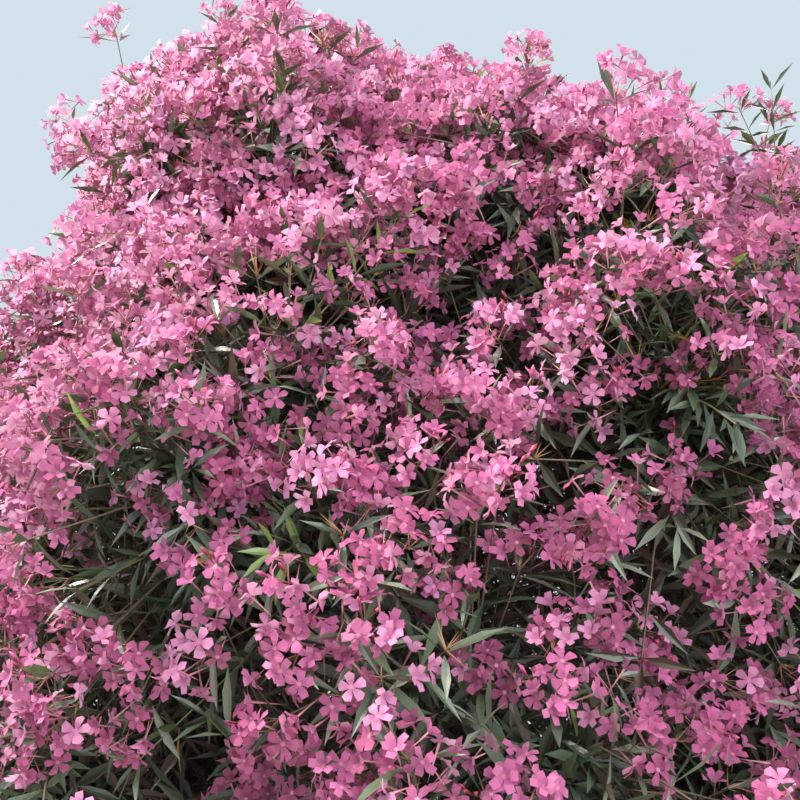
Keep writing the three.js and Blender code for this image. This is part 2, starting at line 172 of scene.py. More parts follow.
class Route:
    """A cubic centre line that is walked by its own length."""

    SAMPLES = 24

    def __init__(self, start: Vector, leave: Vector, end: Vector, arrive: Vector, slack: float = 0.36) -> None:
        """Lay the line.

        Args:
            start: where it starts.
            leave: the unit direction in which it sets off.
            end: where it ends.
            arrive: the unit direction in which it arrives.
            slack: how far each end's direction holds, as a share of the straight distance.
        """
        pull = (end - start).length * slack
        self.controls = (start.copy(), start + leave * pull, end - arrive * pull, end.copy())
        points = [self._at(i / self.SAMPLES) for i in range(self.SAMPLES + 1)]
        self.walked = [0.0]
        for before, after in zip(points, points[1:]):
            self.walked.append(self.walked[-1] + (after - before).length)
        self.length = self.walked[-1]

    def _at(self, t: float) -> Vector:
        """Return the point at the curve's own parameter."""
        (a, b, c, d), s = self.controls, 1.0 - t
        return a * (s * s * s) + b * (3.0 * s * s * t) + c * (3.0 * s * t * t) + d * (t * t * t)

    def _parameter(self, share: float) -> float:
        """Find the curve's parameter at a share of its length.

        Args:
            share: the share, from 0 to 1.

        Returns:
            The parameter, from 0 to 1.
        """
        goal = min(max(share, 0.0), 1.0) * self.length
        index = min(max(bisect.bisect_right(self.walked, goal) - 1, 0), self.SAMPLES - 1)
        step = self.walked[index + 1] - self.walked[index]
        return (index + (goal - self.walked[index]) / max(step, 1e-9)) / self.SAMPLES

    def point(self, share: float) -> Vector:
        """Return the point at a share of the length."""
        return self._at(self._parameter(share))

    def way(self, share: float) -> Vector:
        """Find the direction at a share of the length.

        Args:
            share: the share, from 0 to 1.

        Returns:
            The unit direction.
        """
        t = self._parameter(share)
        (a, b, c, d), s = self.controls, 1.0 - t
        return ((b - a) * (s * s) + (c - b) * (2.0 * s * t) + (d - c) * (t * t)).normalized()


# Driving sizes, as in the part's source


class Tier(Enum):
    """The rings of foliage masses, from the lowest to the highest."""

    SKIRT = "skirt"
    BELT = "belt"
    SHOULDER = "shoulder"
    DOME = "dome"


@dataclass(frozen=True)
class TierPlan:
    """One ring of rounded masses about a point of the plan."""

    centre: tuple[float, float]
    height: float
    ring: float
    count: int
    phase: float
    radius: float
    rise: float
    stagger: float


@dataclass(frozen=True)
class Lobe:
    """A swelling of a tier towards one side. Angles are in degrees."""

    tier: Tier
    towards: float
    spread: float
    outward: float
    upward: float

    def share(self, degrees: float) -> float:
        """Return how far the swelling counts at an angle, from 1 at its middle to 0."""
        off = (degrees - self.towards + 180.0) % 360.0 - 180.0
        return 0.5 + 0.5 * math.cos(math.pi * off / self.spread) if abs(off) < self.spread else 0.0


@dataclass(frozen=True)
class BoughHabit:
    """Where a bough leaves its stem, how it sets off, and how thick it is."""

    leaves: float
    towards: float
    back: float
    up: float
    foot_radius: float
    tip_radius: float = 0.0075


@dataclass(frozen=True)
class StemPlan:
    """The clump of stems: the rings of their feet and forks, their height, lean and thickness."""

    count: int = 7
    phase: float = 13.0
    foot_ring: float = 0.104
    fork_ring: float = 0.33
    stagger: float = 0.016
    turn_spread: float = 0.16
    fork_height: float = 1.16
    height_spread: float = 0.07
    lean: float = 0.42
    slack: float = 0.4
    foot_radius: float = 0.027
    tip_radius: float = 0.019
    flare: float = 0.011


@dataclass(frozen=True)
class ShootHabit:
    """How the shoots of a tier stand at the crown's surface.

    They stand a spacing apart. Heads of flowers bunch outward by clump_depth and rise from hollows
    by hollow_rise. The dents between bunches are leafy, and bloom is the size of a flower.
    """

    spacing: float
    leafy_dents: float
    clump_depth: float
    hollow_rise: float
    bloom: float


TIERS: dict[Tier, TierPlan] = {
    Tier.SKIRT: TierPlan((0.0, 0.0), 1.56, 0.93, 7, 13.0, 0.47, 0.46, 0.04),
    Tier.BELT: TierPlan((0.0, 0.0), 2.16, 1.01, 7, -13.0, 0.49, 0.49, 0.09),
    Tier.SHOULDER: TierPlan((-0.02, 0.0), 2.79, 0.78, 7, 33.0, 0.46, 0.46, 0.05),
    Tier.DOME: TierPlan((-0.47, -0.15), 3.35, 0.33, 4, 12.0, 0.42, 0.45, 0.0),
}
LOBES = (
    Lobe(Tier.SHOULDER, 187.0, 45.0, 0.15, -0.08),
    Lobe(Tier.SHOULDER, 239.0, 45.0, 0.08, 0.03),
    Lobe(Tier.SHOULDER, 290.0, 45.0, 0.02, 0.1),
    Lobe(Tier.SHOULDER, 342.0, 45.0, 0.22, 0.15),
    Lobe(Tier.DOME, 12.0, 60.0, 0.21, -0.04),
    Lobe(Tier.DOME, 192.0, 60.0, 0.03, 0.15),
    Lobe(Tier.DOME, 282.0, 60.0, 0.04, -0.09),
)
BOUGHS: dict[Tier, BoughHabit] = {
    Tier.SKIRT: BoughHabit(0.8, 1.0, 0.0, 0.55, 0.013),
    Tier.BELT: BoughHabit(0.91, 0.75, 0.0, 0.9, 0.014),
    Tier.SHOULDER: BoughHabit(0.985, 0.2, 0.0, 1.0, 0.015),
    Tier.DOME: BoughHabit(0.86, 0.4, 0.5, 1.0, 0.014),
}
SHOOTS: dict[Tier, ShootHabit] = {
    Tier.SKIRT: ShootHabit(0.079, 1.3, 0.17, 0.0, 1.04),
    Tier.BELT: ShootHabit(0.073, 1.1, 0.17, 0.01, 1.04),
    Tier.SHOULDER: ShootHabit(0.061, 0.15, 0.13, 0.04, 1.12),
    Tier.DOME: ShootHabit(0.059, 0.1, 0.11, 0.06, 1.12),
}
BOUGH_ENTERS = 0.16
STEMS = StemPlan()
SKELETON_SEED = 20261
GROWTH_SEED = 4177


@dataclass
class Limb:
    """A stem or bough: its centre line, the stem's bearing, how it arrives, and its thickness."""

    route: Route
    bearing: float
    arrive: Vector
    foot_radius: float
    tip_radius: float
    taper: float = 1.0
    flare: float = 0.0
    flare_length: float = 0.07

    def radius_at(self, share: float) -> float:
        """Return the radius at a share of the length."""
        widened = self.flare * math.exp(-share / self.flare_length)
        return mix(self.foot_radius, self.tip_radius, share**self.taper) + widened


@dataclass
class MassSpace:
    """The rounded space that one mass of foliage keeps to, parted from its neighbours by planes."""

    tier: Tier
    index: int
    centre: Vector
    radius: float
    rise: float
    planes: list[tuple[Vector, float]] = field(default_factory=list)

    @property
    def node(self) -> str:
        """Return the name of the solid that stands for this mass."""
        return f"foliage_{self.tier.value}_{self.index + 1}"

    @property
    def outward(self) -> Vector:
        """Return the level direction from the plant's axis to the mass."""
        return Vector((self.centre.x, self.centre.y, 0.0)).normalized()

    def reach(self, direction: Vector) -> tuple[float, float]:
        """Measure the space from its centre along a direction.

        Args:
            direction: a unit direction.

        Returns:
            How far the space goes, and how far the rounded form alone would go.
        """
        flat = (direction.x**2 + direction.y**2) / self.radius**2
        full = 1.0 / math.sqrt(flat + direction.z**2 / self.rise**2)
        cut = full
        for towards, limit in self.planes:
            along = direction.dot(towards)
            if along > 1e-6:
                cut = min(cut, limit / along)
        return cut, full


def mass_spaces() -> list[MassSpace]:
    """Lay out the masses.

    Returns:
        The space of every mass, tier by tier, with the planes that part them.
    """
    spaces: list[MassSpace] = []
    for tier, plan in TIERS.items():
        lobes = [lobe for lobe in LOBES if lobe.tier is tier]
        for index in range(plan.count):
            degrees = plan.phase + 360.0 * index / plan.count
            outward = sum(lobe.outward * lobe.share(degrees) for lobe in lobes)
            upward = sum(lobe.upward * lobe.share(degrees) for lobe in lobes)
            upward += plan.stagger if index % 2 == 0 else -plan.stagger
            centre = heading(math.radians(degrees)) * (plan.ring + outward)
            centre += Vector((*plan.centre, plan.height + upward))
            spaces.append(MassSpace(tier, index, centre, plan.radius, plan.rise))
    for space in spaces:
        ways = [other.centre - space.centre for other in spaces if other is not space]
        space.planes = [(way.normalized(), way.length / 2.0) for way in ways]
    return spaces


def stem_limbs(soil_top: float, numbers: RepeatableNumbers) -> list[Limb]:
    """Lay the stems of the clump.

    Args:
        soil_top: the height of the soil where the stems stand.
        numbers: the skeleton's row of numbers.

    Returns:
        The stems, each from the soil to its fork.
    """
    stems = []
    for index in range(STEMS.count):
        angle = math.radians(STEMS.phase + 360.0 * index / STEMS.count)
        stagger = STEMS.stagger if index % 2 == 0 else -STEMS.stagger
        foot = heading(angle) * (STEMS.foot_ring + stagger)
        foot.z = soil_top
        fork = heading(angle + (numbers.next() - 0.5) * STEMS.turn_spread) * (STEMS.fork_ring + stagger)
        fork.z = STEMS.fork_height + (numbers.next() - 0.5) * 2.0 * STEMS.height_spread
        arrive = (heading(angle) * STEMS.lean + UP).normalized()
        route = Route(foot, UP, fork, arrive, STEMS.slack)
        stems.append(Limb(route, angle, arrive, STEMS.foot_radius, STEMS.tip_radius, flare=STEMS.flare))
    return stems


def bough_limb(space: MassSpace, stem: Limb) -> Limb:
    """Lay the bough from a stem to the point where it enters a mass.

    Args:
        space: the mass.
        stem: the stem that carries it.

    Returns:
        The bough.
    """
    habit = BOUGHS[space.tier]
    start = stem.route.point(habit.leaves)
    away = Vector((space.centre.x - start.x, space.centre.y - start.y, 0.0)).normalized()
    leave = (away * habit.towards - heading(stem.bearing) * habit.back + UP * habit.up).normalized()
    below = (space.centre - UP * space.rise * 0.55 - start).normalized()
    arrive = (below + UP * 0.35).normalized()
    flat = math.hypot(arrive.x, arrive.y)
    depth = (1.0 - BOUGH_ENTERS) * math.hypot(space.radius * flat, space.rise * arrive.z)
    route = Route(start, leave, space.centre - arrive * depth, arrive)
    return Limb(route, stem.bearing, arrive, habit.foot_radius, habit.tip_radius, taper=0.8)


def bough_limbs(spaces: Sequence[MassSpace], stems: Sequence[Limb]) -> list[Limb]:
    """Lay a bough to every mass, from the stem of the same number or, in the dome, the nearest free one.

    Args:
        spaces: the masses.
        stems: the stems.

    Returns:
        The bough of each mass.
    """
    free = list(range(STEMS.count))
    boughs = []
    for space in spaces:
        number = space.index
        if space.tier is Tier.DOME:
            bearing = math.atan2(space.centre.y, space.centre.x)
            apart = {}
            for each in free:
                off = stems[each].bearing - bearing
                apart[each] = abs(math.atan2(math.sin(off), math.cos(off)))
            number = min(apart, key=apart.get)
            free.remove(number)
        boughs.append(bough_limb(space, stems[number]))
    return boughs


# Meshes from plain lists


def new_object(name: str, points: Iterable, edges: Sequence, faces: Sequence, smooth: bool = True) -> Object:
    """Make an object from corner points.

    Args:
        name: the object's name.
        points: the corner points.
        edges: the two ends of each loose edge.
        faces: the corners of each face, counted from the outside.
        smooth: whether the faces are shaded smooth.

    Returns:
        The object, linked to the scene.
    """
    mesh = bpy.data.meshes.new(name)
    mesh.from_pydata([tuple(point) for point in points], edges, faces)
    mesh.polygons.foreach_set("use_smooth", [smooth] * len(mesh.polygons))
    mesh.update()
    thing = bpy.data.objects.new(name, mesh)
    bpy.context.scene.collection.objects.link(thing)
    return thing


def set_attribute(thing: Object, name: str, kind: str, values: Sequence, domain: str = "POINT") -> None:
    """Give an object a named attribute.

    Args:
        thing: the object.
        name: the attribute's name.
        kind: the type of its values.
        values: a value for each point or face.
        domain: whether points or faces have it.
    """
    data = thing.data.attributes.new(name, kind, domain).data
    data.foreach_set("vector" if kind == "FLOAT_VECTOR" else "value", np.array(values).ravel())


def dress(piece: Object, nodes: Iterable[str] = ()) -> Object:
    """Tell the frame what a piece rides on, and hide the solids that it stands for.

    Args:
        piece: the piece.
        nodes: the names of the solids.

    Returns:
        The piece.
    """
    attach(piece, ROOT_BODY)
    if nodes:
        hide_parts(*nodes)
    return piece


@dataclass
class Shell:
    """The corner points and faces of one mesh, and for small things the zone that each face is of."""

    points: list[Vector] = field(default_factory=list)
    faces: list[tuple[int, ...]] = field(default_factory=list)
    zones: list[int] = field(default_factory=list)

    def add_faces(self, faces: Sequence[tuple[int, ...]], zone: int = 0) -> None:
        """Add faces of one zone."""
        self.faces += faces
        self.zones += [zone] * len(faces)

    def add_tube(self, rings: Sequence[Sequence[Vector]], foot: Vector, tip: Vector) -> None:
        """Add a closed tube.

        Args:
            rings: its rings of points, from foot to tip.
            foot: the middle of its closed foot.
            tip: the middle of its closed tip.
        """
        start, sides = len(self.points), len(rings[0])
        after = [(j + 1) % sides for j in range(sides)]
        for ring in rings:
            self.points += ring
        for a in range(start, start + (len(rings) - 1) * sides, sides):
            self.add_faces([(a + j, a + k, a + sides + k, a + sides + j) for j, k in enumerate(after)])
        last, low = len(self.points) - sides, len(self.points)
        self.points += [foot, tip]
        self.add_faces([(low, start + k, start + j) for j, k in enumerate(after)])
        self.add_faces([(low + 1, last + j, last + k) for j, k in enumerate(after)])

    def add_spike(self, start: Vector, end: Vector, radius: float, zone: int = 0) -> None:
        """Add a three-sided stalk that is thick and open at its start and runs to a point.

        Args:
            start: the middle of its thick end.
            end: its point, straight above or below.
            radius: its radius at the thick end.
            zone: which zone it is of.
        """
        first = len(self.points)
        self.points += [start + heading(turn) * radius for turn in ring_turns(3)]
        self.points.append(end)
        faces = [(first + (i + 1) % 3, first + i, first + 3) for i in range(3)]
        self.add_faces(faces if end.z < start.z else [face[::-1] for face in faces], zone)

    def piece(self, name: str, material: Material) -> Object:
        """Make a piece of one material.

        Args:
            name: the piece's name.
            material: the material.

        Returns:
            The piece.
        """
        thing = new_object(name, self.points, [], self.faces)
        thing.data.materials.append(material)
        return thing

    def master(self, name: str, smooth: bool = False) -> Object:
        """Make a small thing whose faces know which zone they are of.

        Args:
            name: its name.
            smooth: whether it is shaded smooth.

        Returns:
            The small thing.
        """
        thing = new_object(name, self.points, [], self.faces, smooth)
        set_attribute(thing, "zone", "INT", self.zones, "FACE")
        return thing


@dataclass
class Strands:
    """Thin branching stalks: polylines with a radius at every point and a tint each."""

    points: list[Vector] = field(default_factory=list)
    radii: list[float] = field(default_factory=list)
    tints: list[int] = field(default_factory=list)
    edges: list[tuple[int, int]] = field(default_factory=list)

    def add(self, points: Sequence[Vector], radii: Sequence[float], tint: int) -> None:
        """Add one stalk.

        Args:
            points: its course, from foot to tip.
            radii: its radius at each point.
            tint: which bark it has.
        """
        first = len(self.points)
        self.points.extend(points)
        self.radii.extend(radii)
        self.tints.extend([tint] * len(points))
        self.edges.extend((first + i, first + i + 1) for i in range(len(points) - 1))

    def carrier(self, name: str) -> Object:
        """Make an object of the stalks' edges.

        Args:
            name: the object's name.

        Returns:
            The object, with radius and tint as attributes.
        """
        thing = new_object(name, self.points, self.edges, [])
        set_attribute(thing, "thickness", "FLOAT", self.radii)
        set_attribute(thing, "tint", "INT", self.tints)
        return thing


@dataclass
class Places:
    """Where copies of one small thing stand, how they are turned, their size and their tint."""

    points: list[Vector] = field(default_factory=list)
    turns: list[tuple[float, float, float]] = field(default_factory=list)
    sizes: list[float] = field(default_factory=list)
    tints: list[int] = field(default_factory=list)
    kinds: list[int] = field(default_factory=list)

    def add(self, point: Vector, along: Vector, face: Vector, size: float,
            tint: int = 0, kind: int = 0) -> None:
        """Add one place.

        Args:
            point: where the copy's root is.
            along: the unit direction of the copy's own Z.
            face: the direction that the copy's own Y leans to.
            size: its size.
            tint: which of the piece's tints it has.
            kind: which of the piece's shapes it has.
        """
        first, second = square_to(along, face)
        self.points.append(point)
        self.turns.append(tuple(Matrix((first, second, along)).transposed().to_euler()))
        self.sizes.append(size)
        self.tints.append(tint)
        self.kinds.append(kind)

    def carrier(self, name: str) -> Object:
        """Make an object of the places' points.

        Args:
            name: the object's name.

        Returns:
            The object, with turn, size, tint and kind as attributes.
        """
        thing = new_object(name, self.points, [], [])
        set_attribute(thing, "turn", "FLOAT_VECTOR", self.turns)
        set_attribute(thing, "size", "FLOAT", self.sizes)
        set_attribute(thing, "tint", "INT", self.tints)
        set_attribute(thing, "kind", "INT", self.kinds)
        return thing


# Node trees


class NodeBuilder:
    """A node tree that is built line by line."""

    def __init__(self, tree: NodeTree) -> None:
        """Start with a tree."""
        self.tree = tree

    def node(self, kind: str, settings: dict[str, object], values: dict | Sequence = ()) -> Node:
        """Add a node.

        Args:
            kind: the node's type.
            settings: its own properties, which are set first.
            values: a value or link for each socket, by name or in order.

        Returns:
            The node.
        """
        node = self.tree.nodes.new(kind)
        for key, value in settings.items():
            setattr(node, key, value)
        for key, value in values.items() if isinstance(values, dict) else enumerate(values):
            sockets = [socket for socket in node.inputs if socket.name == key and socket.enabled]
            socket = sockets[0] if sockets else node.inputs[key]
            value = value.socket if isinstance(value, Value) else value
            if isinstance(value, NodeSocket):
                self.tree.links.new(value, socket)
            else:
                socket.default_value = value
        return node

    def out(self, kind: str, settings: dict[str, object], values: dict | Sequence = ()) -> NodeSocket:
        """Add a node as node() does, and return its first output."""
        return next(socket for socket in self.node(kind, settings, values).outputs if socket.enabled)

    def maths(self, operation: str, *values: object) -> NodeSocket:
        """Return the result of a Math node on numbers or links."""
        return self.out("ShaderNodeMath", {"operation": operation}, values)


class GeometryTree(NodeBuilder):
    """A Geometry Nodes tree."""

    def __init__(self, name: str) -> None:
        """Start a tree with a geometry input and output.

        Args:
            name: the tree's name.
        """
        super().__init__(bpy.data.node_groups.new(name, "GeometryNodeTree"))
        for way in ("INPUT", "OUTPUT"):
            self.tree.interface.new_socket("Geometry", in_out=way, socket_type="NodeSocketGeometry")
        self.entry = self.tree.nodes.new("NodeGroupInput").outputs

    def input(self, name: str, kind: str) -> str:
        """Add a named input, and return its identifier for a modifier."""
        return self.tree.interface.new_socket(name, in_out="INPUT", socket_type=kind).identifier

    def attribute(self, name: str, kind: str = "INT") -> NodeSocket:
        """Return a named attribute's value."""
        return self.out("GeometryNodeInputNamedAttribute", {"data_type": kind}, {"Name": name})

    def is_equal(self, value: NodeSocket, number: int) -> NodeSocket:
        """Return whether a whole number equals another."""
        settings = {"data_type": "INT", "operation": "EQUAL"}
        return self.out("FunctionNodeCompare", settings, {"A": value, "B": number})

    def paint(self, geometry: NodeSocket, material: Material,
              chosen: NodeSocket | bool = True) -> NodeSocket:
        """Set the material of the chosen faces.

        Args:
            geometry: the geometry.
            material: the material.
            chosen: which faces get it.

        Returns:
            The painted geometry.
        """
        values = {"Geometry": geometry, "Selection": chosen, "Material": material}
        return self.out("GeometryNodeSetMaterial", {}, values)

    def apply(self, geometry: NodeSocket, thing: Object,
              values: dict[str, object]) -> Object:
        """End the tree with a geometry, run it on an object and keep the result as its mesh.

        Args:
            geometry: the geometry.
            thing: the object.
            values: for each input's identifier, its value.

        Returns:
            The object, as a plain mesh.
        """
        self.node("NodeGroupOutput", {}, {"Geometry": geometry})
        modifier = thing.modifiers.new(self.tree.name, "NODES")
        modifier.node_group = self.tree
        for identifier, value in values.items():
            modifier[identifier] = value
        bpy.context.view_layer.update()
        graph = bpy.context.evaluated_depsgraph_get()
        made = bpy.data.meshes.new_from_object(thing.evaluated_get(graph), depsgraph=graph)
        thing.modifiers.clear()
        old = thing.data
        made.name = thing.name
        thing.data = made
        bpy.data.meshes.remove(old)
        bpy.data.node_groups.remove(self.tree)
        return thing


def scatter(name: str, places: Places, masters: Sequence[Object],
            tints: Sequence[Sequence[Material]], spread: float, seed: int) -> Object:
    """Set copies of small things at their places and join them.

    Args:
        name: the piece's name.
        places: where the copies stand.
        masters: the shapes, whose faces hold their zone's number in the attribute zone.
        tints: for each tint, the material of each zone.
        spread: how far sizes vary, as a share of the size.
        seed: which random sizes they get.

    Returns:
        The joined copies as one plain mesh.
    """
    build = GeometryTree(f"{name}_tree")
    values = {build.input(f"Shape {i + 1}", "NodeSocketObject"): master for i, master in enumerate(masters)}
    values[build.input("Size spread", "NodeSocketFloat")] = spread
    values[build.input("Seed", "NodeSocketInt")] = seed
    entry = build.entry
    least = build.maths("SUBTRACT", 1.0, entry["Size spread"])
    most = build.maths("ADD", 1.0, entry["Size spread"])
    limits = {"Min": least, "Max": most, "Seed": entry["Seed"]}
    varied = build.out("FunctionNodeRandomValue", {"data_type": "FLOAT"}, limits)
    shapes = build.node("GeometryNodeJoinGeometry", {})
    for i in reversed(range(len(masters))):
        shape = {"Object": entry[f"Shape {i + 1}"], "As Instance": True}
        info = build.node("GeometryNodeObjectInfo", {}, shape)
        build.tree.links.new(info.outputs["Geometry"], shapes.inputs[0])
    copies = build.out("GeometryNodeInstanceOnPoints", {}, {
        "Points": entry["Geometry"],
        "Instance": shapes.outputs[0],
        "Pick Instance": True,
        "Instance Index": build.attribute("kind"),
        "Rotation": build.out("FunctionNodeEulerToRotation", {}, [build.attribute("turn", "FLOAT_VECTOR")]),
        "Scale": build.maths("MULTIPLY", build.attribute("size", "FLOAT"), varied),
    })
    geometry = build.out("GeometryNodeRealizeInstances", {}, [copies])
    tint, zone = build.attribute("tint"), build.attribute("zone")
    for tint_number, zones in enumerate(tints):
        for zone_number, material in enumerate(zones):
            tests = [build.is_equal(tint, tint_number), build.is_equal(zone, zone_number)]
            both = build.out("FunctionNodeBooleanMath", {"operation": "AND"}, tests)
            geometry = build.paint(geometry, material, both)
    for master in masters:
        master.data.materials.clear()
        master.data.materials.append(tints[0][0])
    piece = build.apply(geometry, places.carrier(name), values)
    for attribute in ("turn", "size", "tint", "kind", "zone"):
        found = piece.data.attributes.get(attribute)
        if found:
            piece.data.attributes.remove(found)
    return piece


def thicken(name: str, strands: Strands, sides: int, barks: Sequence[Material]) -> Object:
    """Give stalks their thickness.

    Args:
        name: the piece's name.
        strands: the stalks.
        sides: how many sides each has.
        barks: the material of each tint.

    Returns:
        The stalks as one plain mesh.
    """
    build = GeometryTree(f"{name}_tree")
    sides_in = build.input("Sides", "NodeSocketInt")
    circle = {"Resolution": build.entry["Sides"], "Radius": 1.0}
    tube = build.out("GeometryNodeCurveToMesh", {}, {
        "Curve": build.out("GeometryNodeMeshToCurve", {}, {"Mesh": build.entry["Geometry"]}),
        "Profile Curve": build.out("GeometryNodeCurvePrimitiveCircle", {}, circle),
        "Scale": build.attribute("thickness", "FLOAT"),
        "Fill Caps": False,
    })
    smooth = build.out("GeometryNodeSetShadeSmooth", {}, {"Geometry": tube, "Shade Smooth": True})
    geometry = build.paint(build.out("GeometryNodeRealizeInstances", {}, [smooth]), barks[0])
    tint = build.attribute("tint")
    for number, material in enumerate(barks[1:], 1):
        geometry = build.paint(geometry, material, build.is_equal(tint, number))
    return build.apply(geometry, strands.carrier(name), {sides_in: sides})


# Finishes


def linear(code: str) -> tuple[float, float, float, float]:
    """Return a colour given as six hexadecimal digits in the linear values that shaders use."""
    values = [int(code[i : i + 2], 16) / 255.0 for i in (0, 2, 4)]
    return (*(v / 12.92 if v <= 0.04045 else ((v + 0.055) / 1.055) ** 2.4 for v in values), 1.0)


class Value:
    """A number in a shader, which expressions turn into Math nodes."""

    def __init__(self, shader: Shader, socket: NodeSocket) -> None:
        """Wrap a socket of a shader."""
        self.shader = shader
        self.socket = socket

    def __add__(self, other: object) -> Value:
        """Return the sum."""
        return Value(self.shader, self.shader.maths("ADD", self, other))

    __radd__ = __add__

    def __sub__(self, other: object) -> Value:
        """Return the difference."""
        return Value(self.shader, self.shader.maths("SUBTRACT", self, other))

    def __rsub__(self, other: object) -> Value:
        """Return the difference from a number."""
        return Value(self.shader, self.shader.maths("SUBTRACT", other, self))

    def __mul__(self, other: object) -> Value:
        """Return the product."""
        return Value(self.shader, self.shader.maths("MULTIPLY", self, other))

    __rmul__ = __mul__

    def between(self, low: float, high: float) -> Value:
        """Limit the value to a range.

        Args:
            low: where the result is still 0.
            high: where it has reached 1.

        Returns:
            A smooth rise from 0 to 1.
        """
        settings = {"interpolation_type": "SMOOTHSTEP", "clamp": True}
        values = {"Value": self, "From Min": low, "From Max": high}
        return Value(self.shader, self.shader.out("ShaderNodeMapRange", settings, values))


class Shader(NodeBuilder):
    """A material."""

    def __init__(self, name: str) -> None:
        """Start a material with an empty tree.

        Args:
            name: the material's name.
        """
        self.material = bpy.data.materials.new(name)
        self.material.use_nodes = True
        super().__init__(self.material.node_tree)
        self.tree.nodes.clear()

    def place(self, *scale: float) -> NodeSocket:
        """Return the object coordinates, scaled along each axis."""
        where = self.node("ShaderNodeTexCoord", {}).outputs["Object"]
        return self.out("ShaderNodeMapping", {}, {"Vector": where, "Scale": scale or (1.0, 1.0, 1.0)})

    def height(self) -> Value:
        """Return the height above the ground."""
        where = self.node("ShaderNodeTexCoord", {}).outputs["Object"]
        return Value(self, self.node("ShaderNodeSeparateXYZ", {}, [where]).outputs["Z"])

    def noise(self, place: NodeSocket, scale: float, detail: float = 4.0, roughness: float = 0.55) -> Value:
        """Return soft noise from 0 to 1."""
        values = {"Vector": place, "Scale": scale, "Detail": detail, "Roughness": roughness}
        return Value(self, self.out("ShaderNodeTexNoise", {}, values))

    def mix(self, share: Value, low: object, high: object) -> NodeSocket:
        """Return a colour a share of the way from low to high."""
        settings = {"data_type": "RGBA", "clamp_factor": True}
        return self.out("ShaderNodeMix", settings, {"Factor": share, "A": low, "B": high})

    def bump(self, height: Value, strength: float, distance: float) -> NodeSocket:
        """Return a normal that follows a height."""
        return self.out("ShaderNodeBump", {}, {"Height": height, "Strength": strength, "Distance": distance})

    def surface(self, values: dict[str, object], through: float = 0.0, glow: tuple = ()) -> Material:
        """End the shader with a surface.

        Args:
            values: values and links of the principled shader's sockets.
            through: the share of light that shines through, on a thin leaf or petal.
            glow: the colour of that light.

        Returns:
            The material.
        """
        main = self.out("ShaderNodeBsdfPrincipled", {}, values)
        if through > 0.0:
            thin = self.out("ShaderNodeBsdfTranslucent", {}, {"Color": glow})
            main = self.out("ShaderNodeMixShader", {}, [through, main, thin])
        self.node("ShaderNodeOutputMaterial", {}, {"Surface": main})
        return self.material


@dataclass(frozen=True)
class ThinFinish:
    """A petal, leaf, bud or young stalk: one plain colour, a little gloss, and light shining through."""

    name: str
    colour: str
    roughness: float = 0.5
    through: float = 0.0
    glow: str = ""
    coat: float = 0.0
    gloss: float = 0.5
    coat_roughness: float = 0.28

    def make(self) -> Material:
        """Make the finish.

        Returns:
            The material.
        """
        return Shader(self.name).surface({
            "Base Color": linear(self.colour),
            "Roughness": self.roughness,
            "Coat Weight": self.coat,
            "Coat Roughness": self.coat_roughness,
            "Specular IOR Level": self.gloss,
        }, self.through, linear(self.glow or self.colour))


@dataclass(frozen=True)
class PetalTint:
    """The colours of a flower: outer and inner petal, the light through it, throat and stalk."""

    name: str
    outer: str
    inner: str
    glow: str
    throat: str = "DC8EA4"
    stalk: str = "B0747C"

    def zones(self) -> list[Material]:
        """Make the finishes of the flower's zones.

        Returns:
            The material of each zone.
        """
        finishes = (
            ThinFinish(f"petal_outer_{self.name}", self.outer, 0.5, 0.4, self.glow, gloss=0.2),
            ThinFinish(f"petal_inner_{self.name}", self.inner, 0.5, 0.36, self.glow, gloss=0.2),
            ThinFinish(f"petal_throat_{self.name}", self.throat, 0.5, 0.3),
            ThinFinish(f"petal_stalk_{self.name}", self.stalk, 0.6),
        )
        return [finish.make() for finish in finishes]


class PatternedFinish:
    """A finish whose look changes over its surface."""

    name = ""

    def make(self) -> Material:
        """Return the material."""
        shader = Shader(self.name)
        return shader.surface(self.values(shader))

    def values(self, shader: Shader) -> dict[str, object]:
        """Return the values and links of the principled shader's sockets."""
        raise NotImplementedError


class BarkFinish(PatternedFinish):
    """Smooth grey-brown bark with pale pores and fine lengthwise lines."""

    name = "oleander_bark"

    def values(self, shader: Shader) -> dict[str, object]:
        """Pattern the bark.

        Args:
            shader: the shader that it is built in.

        Returns:
            The values and links of the principled shader's sockets.
        """
        streaks = shader.noise(shader.place(1.0, 1.0, 0.22), 120.0, 6.0, 0.6)
        patches = shader.noise(shader.place(), 9.0, 3.0)
        pores = shader.noise(shader.place(), 260.0, 2.0).between(0.62, 0.72)
        body = shader.mix(patches.between(0.35, 0.68), linear("6E6253"), linear("93877A"))
        lined = shader.mix(streaks.between(0.42, 0.72) * 0.55, body, linear("4C4238"))
        return {
            "Base Color": shader.mix(pores * 0.6, lined, linear("B3A896")),
            "Roughness": streaks.between(0.2, 0.9) * 0.2 + 0.68,
            "Normal": shader.bump(streaks * 0.7 + pores * 0.5 + patches * 0.3, 0.6, 0.002),
        }


